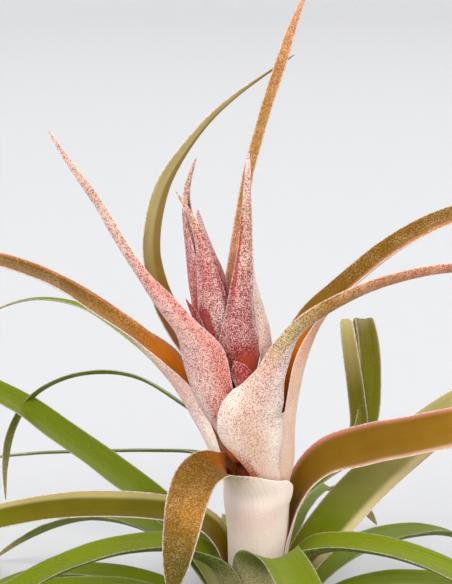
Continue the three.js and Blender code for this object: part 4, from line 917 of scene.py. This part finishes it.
def scaly_material(slot, gloss, pale, dark, relief, veins, shine):
    """Leaf skin: coloured tissue under round silver scales.

    A cell pattern in object space gives one scale to each cell. Where cover is low, more scales are
    missing and the gaps between them are wide, and where it is 0 the skin is smooth and slightly
    mottled. A scale shows its tissue brighter, towards silver by pale, and a gap shows it deeper by
    dark. Fine lengthwise veins follow the distance across the blade."""
    paint = Paint(
        f"skin_{slot}", subsurface_weight=0.1, subsurface_scale=0.6 * MM, specular_ior_level=shine,
        sheen_weight=0.3 * shine, sheen_roughness=0.4,
    )
    place = paint.node("TexCoord", output="Object")
    tissue = paint.attribute("tissue", "Color")
    cover = paint.attribute("cover")
    across = paint.attribute("rib")
    cell = {"Vector": place, "Scale": 1 / sizes().scale_width, "Randomness": 1.0}
    distance = paint.node("TexVoronoi", {"feature": "F1"}, cell)
    random_colour = paint.node("TexVoronoi", {"feature": "F1"}, cell, output="Color")
    chance = paint.node("SeparateColor", {}, {0: random_colour})
    patches = paint.node("TexNoise", {}, {"Vector": place, "Scale": 1 / (SCALE_PATCH * MM), "Detail": 4.0})
    vein = (across * (2 * math.pi * MM / sizes().rib_pitch)).sine() * 0.5 + 0.5
    closeness = (cover + (patches - 0.5) * 0.5 - vein * (0.12 * veins)).clamped()
    missing = paint.ramp(chance - closeness, -0.12, 0.12)
    gap = paint.ramp(distance - closeness * 0.4, 0.12, 0.36)
    # The gaps fade on the sheaths, where the scales lie closest.
    fading = 1 - paint.ramp(cover, 0.86, 1.0) * 0.6
    bare = (gap * 0.55 + missing * 0.9).clamped() * fading
    scaly = paint.ramp(cover, 0.02, 0.3)
    bright = paint.node("VectorMath", {"operation": "SCALE"}, {0: tissue, "Scale": (1 - cover) * 1.1 + 1})
    light = paint.mix((patches - 0.5) * 0.4 + pale, bright, tuple(tint("silver")))
    deep = paint.mix(dark, tissue, DEEPEN, blend_type="MULTIPLY")
    mottled = paint.mix((patches - 0.3) * 0.5, tissue, DEEPEN, blend_type="MULTIPLY")
    skin = paint.mix(scaly, mottled, paint.mix(bare, light, deep))
    roughness = (1 - bare) * scaly * 0.25 + gloss
    height = (1 - bare) * scaly * 0.7 + vein * veins
    return paint.finish(skin, roughness, height, relief * MM)


def bark_material(slot):
    """Dry fibrous bark: brown mottled by noise, with stretched fibres up the stem, and dark rust higher up
    as painted shade, where the sheaths of the flower stem cover it."""
    paint = Paint(f"bark_{slot}", specular_ior_level=0.3)
    place = paint.node("TexCoord", output="Object")
    stretched = paint.node("Mapping", {}, {"Vector": place, "Scale": (1.0, 1.0, 0.14)})
    fibre = paint.node("TexNoise", {}, {"Vector": stretched, "Scale": 1 / (0.7 * MM), "Detail": 4.0})
    patch = paint.node("TexNoise", {}, {"Vector": place, "Scale": 1 / (4 * MM), "Detail": 4.0})
    bark = tuple(tint("bark"))
    pale = tuple(0.55 * tint("bark") + 0.45 * tint("straw"))
    colour = paint.mix(paint.ramp(fibre + patch * 0.4, 0.5, 0.95), bark, pale)
    colour = paint.mix(paint.ramp(patch, 0.35, 0.6) * 0.5, colour, tuple(0.4 * tint("bark")))
    height = paint.node("SeparateXYZ", {}, {0: place}, output=2)
    # Painted shade: the stem turns dark rust from 40 to 52 mm up, inside the sheaths.
    colour = paint.mix(paint.ramp(height, 40 * MM, 52 * MM), colour, tuple(0.8 * tint("rust")))
    return paint.finish(colour, fibre * 0.2 + 0.7, fibre, 0.5 * MM)


def floor_material():
    """Matt seamless paper."""
    paint = Paint("studio_paper", specular_ior_level=0.1)
    place = paint.node("TexCoord", output="Object")
    grain = paint.node("TexNoise", {}, {"Vector": place, "Scale": 900.0, "Detail": 2.0})
    floor = tint("floor")
    colour = paint.mix(grain, tuple(0.99 * floor), tuple(floor))
    return paint.finish(colour, 0.9, grain, 0.02 * MM)


SLOT_OF = {part["node"]: part["material_slot"] for part in frame["record"]["subparts"]}

# Finish of each slot: gloss is the roughness of smooth skin, pale how much silver the scales add,
# dark how much the gaps between them darken, relief the bump in mm, veins the depth of the veins,
# and shine the strength of reflections.
FINISH_PARTS = ("gloss", "pale", "dark", "relief", "veins", "shine")
FINISH = {
    "bract_coral": (0.5, 0.26, 1.0, 0.12, 0.1, 0.35),
    "bract_mauve": (0.5, 0.24, 1.0, 0.12, 0.1, 0.35),
    "leaf_salmon": (0.5, 0.18, 1.0, 0.12, 0.2, 0.35),
    "leaf_cream": (0.5, 0.15, 0.72, 0.1, 0.35, 0.35),
    "leaf_orange": (0.45, 0.1, 0.6, 0.1, 0.4, 0.3),
    "leaf_golden": (0.45, 0.08, 0.55, 0.1, 0.4, 0.15),
    "leaf_olive": (0.55, 0.12, 0.5, 0.08, 0.4, 0.08),
    "leaf_green": (0.55, 0.08, 0.4, 0.08, 0.4, 0.1),
}


def skin(slot):
    """The scaly material of a slot, made when it is first asked for."""
    made = bpy.data.materials.get(f"skin_{slot}")
    return made or scaly_material(slot, **dict(zip(FINISH_PARTS, FINISH[slot])))


def low_leaves():
    """The skirt and ring leaves by node name."""
    leaves = {f"leaf_skirt_{k + 1}": skirt_leaf(k) for k in range(len(SKIRT["angles"]))}
    leaves.update({f"leaf_ring_{k + 1}": ring_leaf(k) for k in range(RING["count"])})
    return leaves


def all_leaves():
    return {**HEAD, **FLOWER_LEAVES, **ROSETTE_LEAVES, **low_leaves()}


def detail(name):
    """Columns and stations of a leaf: the farther from the head, the fewer."""
    share = 1.0 if name in HEAD or name in FLOWER_LEAVES else 0.8 if name in ROSETTE_LEAVES else 0.6
    return int(sizes().columns * share) // 2 * 2, int(sizes().stations * share)


def fine_leaf(name, leaf):
    """Grid, paint layers and random source of one leaf, the same each time it is asked for."""
    rng = np.random.default_rng([11, list(all_leaves()).index(name)])
    grid = leaf_grid(leaf, *detail(name), rng)
    paint = {"cover_inner": {0: 0.2, 1: 0.5}, **PAINT.get(name, GREEN_PAINT)}
    return grid, painted(paint, grid, rng), rng


def make_leaves(leaves):
    """One fine piece for each leaf, in place of its node in the frame."""
    for name, leaf in leaves.items():
        grid, (tissue, cover), _ = fine_leaf(name, leaf)
        points = np.stack([grid["outer"], grid["inner"]])
        rows, columns = grid["s"].shape
        layers = {"tissue": tissue, "cover": cover.ravel(), "rib": np.stack([grid["offset"]] * 2).ravel()}
        faces = sheet_faces(rows, columns).tolist()
        add_mesh(f"fine_{name}", points, faces, skin(SLOT_OF[name]), layers, [name])


def margin_hairs(grid, rng):
    """Silver hairs along both margins of a leaf, each a slim closed pyramid on three corners.

    Its foot is at a random place along the margin, a little inside it, and it points out across the
    blade, tilted at random to either face and along the leaf."""
    rows = grid["s"].shape[0]
    count = int(2 * grid["length"] * sizes().hairs_per_mm)
    at = rng.uniform(0.5, rows - 2, count)
    low = at.astype(int)
    part = (at - low)[:, None]
    edge = np.where(rng.random(count) < 0.5, 0, grid["s"].shape[1] - 1)
    next_in = np.where(edge == 0, 1, edge - 1)
    wall = 0.5 * (grid["outer"] + grid["inner"])
    foot = wall[low, edge] * (1 - part) + wall[low + 1, edge] * part
    out = wall[low, edge] - wall[low, next_in]
    out /= np.linalg.norm(out, axis=1, keepdims=True)
    ahead = wall[low + 1, edge] - wall[low, edge]
    ahead /= np.linalg.norm(ahead, axis=1, keepdims=True)
    up = np.cross(out, ahead)
    length = rng.uniform(0.35, 1.0, (count, 1)) * sizes().hair_length / MM
    point = out + up * rng.normal(0, 0.5, (count, 1)) + ahead * rng.normal(0.25, 0.35, (count, 1))
    apex = foot + point * length
    corners = [(math.cos(a), math.sin(a)) for a in (0, 2.094, 4.189)]
    ring = [foot + HAIR_RADIUS * (ahead * c + up * d) - HAIR_RADIUS * out for c, d in corners]
    points = np.stack([*ring, apex], 1)
    start = 4 * np.arange(count)[:, None]
    return points, np.concatenate([start + f for f in ([0, 2, 1], [0, 1, 3], [1, 2, 3], [2, 0, 3])])


def make_hairs(name, leaves, slot):
    """One piece with the margin hairs of several leaves."""
    points, faces, shift = [], [], 0
    for leaf_name, leaf in leaves.items():
        grid, _, rng = fine_leaf(leaf_name, leaf)
        corners, sides = margin_hairs(grid, rng)
        points.append(corners.reshape(-1, 3))
        faces.append(sides + shift)
        shift += points[-1].shape[0]
    points, count = np.concatenate(points), shift
    layers = {"tissue": np.tile(tint("silver"), (count, 1)), "cover": np.ones(count), "rib": np.zeros(count)}
    add_mesh(name, points, np.concatenate(faces).tolist(), skin(slot), layers)


def tube_mesh(rings):
    """Points and faces of a closed tube: quads between the rings, a fan at each end."""
    rows, around = rings.shape[:2]
    points = np.concatenate([rings.reshape(-1, 3), rings[:1].mean(1), rings[-1:].mean(1)])
    j = np.arange(around)
    nxt = (j + 1) % around
    start = np.arange(rows - 1)[:, None] * around
    quads = np.stack([start + j, start + nxt, start + around + nxt, start + around + j], -1).reshape(-1, 4)
    last = (rows - 1) * around
    foot = np.stack([np.full(around, rows * around), nxt, j], 1)
    top = np.stack([np.full(around, rows * around + 1), last + j, last + nxt], 1)
    return points, quads.tolist() + foot.tolist() + top.tolist()


def stem_rings(rng):
    """Rings of the stem: circles of its radius about the leaning axis, with slow ridges and leaf scars."""
    z = np.concatenate([[0, 0, 0], np.linspace(0, FORK_HEIGHT, 150), [FORK_HEIGHT + 1, FORK_HEIGHT + 1.7]])
    shrink = np.concatenate([[0.3, 0.65, 0.97], np.ones(150), [0.8, 0.3]])
    turn = np.linspace(0, 2 * math.pi, 64, endpoint=False)
    Z, A = np.meshgrid(z, turn, indexing="ij")
    x, y = np.cos(A), np.sin(A)
    rough = smooth(Z / 1.5) * (0.22 * wander(rng, Z * 0.9, x * 2, y * 2) + 0.12 * np.sin(Z * 2.6 + 1.5 * x))
    radius = (profile(STEM_RADIUS, Z) + rough) * shrink[:, None]
    return np.stack([radius * x + lean(Z), radius * y, Z], -1)


def rod_rings(points, radius):
    """Rings of a round rod along a curve, with rounded ends."""
    place, direction, _ = spline(points)
    s = np.linspace(0, 1, 40)
    t = direction(s)
    across = np.cross(t, [0, 1, 0])
    across /= np.linalg.norm(across, axis=1, keepdims=True)
    back = np.cross(t, across)
    swell = radius * np.sqrt(np.clip(1 - np.abs(2 * s - 1) ** 12, 0.01, 1))
    turn = np.linspace(0, 2 * math.pi, 16, endpoint=False)
    ring = across[:, None] * np.cos(turn)[:, None] + back[:, None] * np.sin(turn)[:, None]
    return place(s)[:, None] + ring * swell[:, None, None]


class AIRPLANT_OT_stem(bpy.types.Operator):
    """Stem: the woody stub and axis with its two spike axes"""

    bl_idname = "airplant.stem"
    bl_label = "Stem"

    def execute(self, context):
        left = rod_rings([[-6.6, 0, 86], [-9.4, 0, 95], [-12, 0, 103], [-14, 0, 110]], SPIKE_AXIS)
        right = rod_rings([[-6, 0, 86], [-4.4, -0.9, 94], [-4, -1.5, 101], [-4, -1.8, 107]], SPIKE_AXIS)
        points, faces, shift = [], [], 0
        for rings in (stem_rings(np.random.default_rng(3)), left, right):
            corners, sides = tube_mesh(rings)
            points.append(corners)
            faces += [[corner + shift for corner in side] for side in sides]
            shift += len(corners)
        points = np.concatenate(points)
        add_mesh("fine_stem", points, faces, bark_material("stem"), replaced=["stem"])
        return {"FINISHED"}


class AIRPLANT_OT_head(bpy.types.Operator):
    """Head: the bracts and buds of the two spikes"""

    bl_idname = "airplant.head"
    bl_label = "Flower head"

    def execute(self, context):
        make_leaves(HEAD)
        return {"FINISHED"}


class AIRPLANT_OT_flower_leaves(bpy.types.Operator):
    """Leaves of the flower stem with their sheaths"""

    bl_idname = "airplant.flower_leaves"
    bl_label = "Flower stem leaves"

    def execute(self, context):
        make_leaves(FLOWER_LEAVES)
        return {"FINISHED"}


class AIRPLANT_OT_rosette_leaves(bpy.types.Operator):
    """Long arching leaves of the rosette"""

    bl_idname = "airplant.rosette_leaves"
    bl_label = "Rosette leaves"

    def execute(self, context):
        make_leaves(ROSETTE_LEAVES)
        return {"FINISHED"}


class AIRPLANT_OT_low_leaves(bpy.types.Operator):
    """Lowest leaves, which the plant rests on, and the short ones above them"""

    bl_idname = "airplant.low_leaves"
    bl_label = "Low leaves"

    def execute(self, context):
        make_leaves(low_leaves())
        return {"FINISHED"}


class AIRPLANT_OT_hairs(bpy.types.Operator):
    """Silver hairs along the margins of the bracts and leaves"""

    bl_idname = "airplant.hairs"
    bl_label = "Margin hairs"

    def execute(self, context):
        make_hairs("hairs_head", HEAD, "bract_mauve")
        make_hairs("hairs_flower_leaves", FLOWER_LEAVES, "leaf_cream")
        make_hairs("hairs_rosette", ROSETTE_LEAVES, "leaf_green")
        return {"FINISHED"}


def add_light(name, place, aim, size, power, colour=(1.0, 1.0, 1.0)):
    """Square area light at a place in metres, turned towards the aim."""
    light = bpy.data.lights.new(name, "AREA")
    light.size = size
    light.energy = power
    light.color = colour
    lamp = bpy.data.objects.new(name, light)
    lamp.location = place
    lamp.rotation_euler = (Vector(aim) - Vector(place)).to_track_quat("-Z", "Y").to_euler()
    bpy.context.scene.collection.objects.link(lamp)


def add_floor():
    """Round seamless floor: a flat disc, a quarter turn up and a wall, turned about the vertical."""
    floor, bend, wall, sides = 1600.0, 700.0, 1500.0, 128
    quarter = np.linspace(0, math.pi / 2, 24)
    radius = np.concatenate([np.geomspace(1, floor, 40), floor + bend * np.sin(quarter[1:]), [floor + bend]])
    height = np.concatenate([np.zeros(40), bend * (1 - np.cos(quarter[1:])), [wall]]) - 0.2
    turn = np.linspace(0, 2 * math.pi, sides, endpoint=False)
    level = np.outer(height, np.ones(sides))
    rings = np.stack([np.outer(radius, np.cos(turn)), np.outer(radius, np.sin(turn)), level], -1)
    start = np.arange(len(radius) - 1)[:, None] * sides
    j = np.arange(sides)
    nxt = (j + 1) % sides
    quads = np.stack([start + j, start + sides + j, start + sides + nxt, start + nxt], -1).reshape(-1, 4)
    mesh = bpy.data.meshes.new("studio_floor")
    mesh.from_pydata((rings.reshape(-1, 3) * MM).tolist(), [], quads.tolist() + [j.tolist()])
    mesh.polygons.foreach_set("use_smooth", np.ones(len(mesh.polygons), bool))
    mesh.materials.append(floor_material())
    stage = bpy.data.objects.new("studio_floor", mesh)
    bpy.context.scene.collection.objects.link(stage)


def add_lights():
    """A cool even sky, two large lights at the front, a small one low down and one behind."""
    world = bpy.data.worlds.new("studio")
    world.use_nodes = True
    sky = world.node_tree.nodes["Background"].inputs
    sky["Color"].default_value = (0.95, 0.97, 1.0, 1.0)
    sky["Strength"].default_value = 0.95
    bpy.context.scene.world = world
    aim = (-0.01, 0.0, 0.1)
    add_light("key", (-2.2, -2.6, 2.3), aim, 2.6, 190.0, (1.0, 0.98, 0.95))
    add_light("fill", (2.6, -2.4, 1.6), aim, 2.6, 170.0)
    add_light("front", (0.3, -1.9, 0.8), aim, 1.6, 15.0)
    add_light("rim", (1.4, 2.6, 2.8), aim, 2.0, 100.0)


def add_camera():
    """Camera half a metre in front of the head, a little above it and looking slightly down."""
    rise = math.radians(14.0)
    target = Vector((-0.008, 0.0, 0.106))
    camera = bpy.data.cameras.new("camera")
    camera.sensor_fit = "VERTICAL"
    camera.sensor_height = 36.0
    camera.lens = 2000.0 / 584.0 * 36.0
    camera.clip_start = 0.01
    eye = bpy.data.objects.new("camera", camera)
    eye.location = target - 0.5 * Vector((0.0, math.cos(rise), -math.sin(rise)))
    eye.rotation_euler = (math.pi / 2 - rise, 0.0, 0.0)
    bpy.context.scene.collection.objects.link(eye)
    bpy.context.scene.camera = eye


class AIRPLANT_OT_stage(bpy.types.Operator):
    """Stage: seamless pale floor, soft studio light and the camera"""

    bl_idname = "airplant.stage"
    bl_label = "Stage, light and camera"

    def execute(self, context):
        add_floor()
        add_lights()
        add_camera()
        context.scene.view_settings.view_transform = "Standard"
        context.scene.view_settings.look = "None"
        return {"FINISHED"}


OPERATORS = (
    AIRPLANT_OT_stem,
    AIRPLANT_OT_head,
    AIRPLANT_OT_flower_leaves,
    AIRPLANT_OT_rosette_leaves,
    AIRPLANT_OT_low_leaves,
    AIRPLANT_OT_hairs,
    AIRPLANT_OT_stage,
)


class AIRPLANT_PT_panel(bpy.types.Panel):
    """Sidebar list of the plant's pieces"""

    bl_idname = "AIRPLANT_PT_panel"
    bl_label = "Air plant"
    bl_space_type = "VIEW_3D"
    bl_region_type = "UI"
    bl_category = "Air plant"

    def draw(self, context):
        layout = self.layout
        for group in (context.scene.air_plant_sizes, context.scene.air_plant_colours):
            for name in group.__annotations__:
                layout.prop(group, name)
        for operator in OPERATORS:
            layout.operator(operator.bl_idname)


CLASSES = (PlantSizes, PlantColours, *OPERATORS, AIRPLANT_PT_panel)


def register():
    for cls in CLASSES:
        bpy.utils.register_class(cls)
    bpy.types.Scene.air_plant_sizes = PointerProperty(type=PlantSizes)
    bpy.types.Scene.air_plant_colours = PointerProperty(type=PlantColours)


def unregister():
    del bpy.types.Scene.air_plant_colours
    del bpy.types.Scene.air_plant_sizes
    for cls in reversed(CLASSES):
        bpy.utils.unregister_class(cls)


def main():
    """Builds the plant and the stage."""
    register()
    bpy.ops.airplant.stem()
    bpy.ops.airplant.head()
    bpy.ops.airplant.flower_leaves()
    bpy.ops.airplant.rosette_leaves()
    bpy.ops.airplant.low_leaves()
    bpy.ops.airplant.hairs()
    bpy.ops.airplant.stage()


if __name__ == "__main__":
    main()
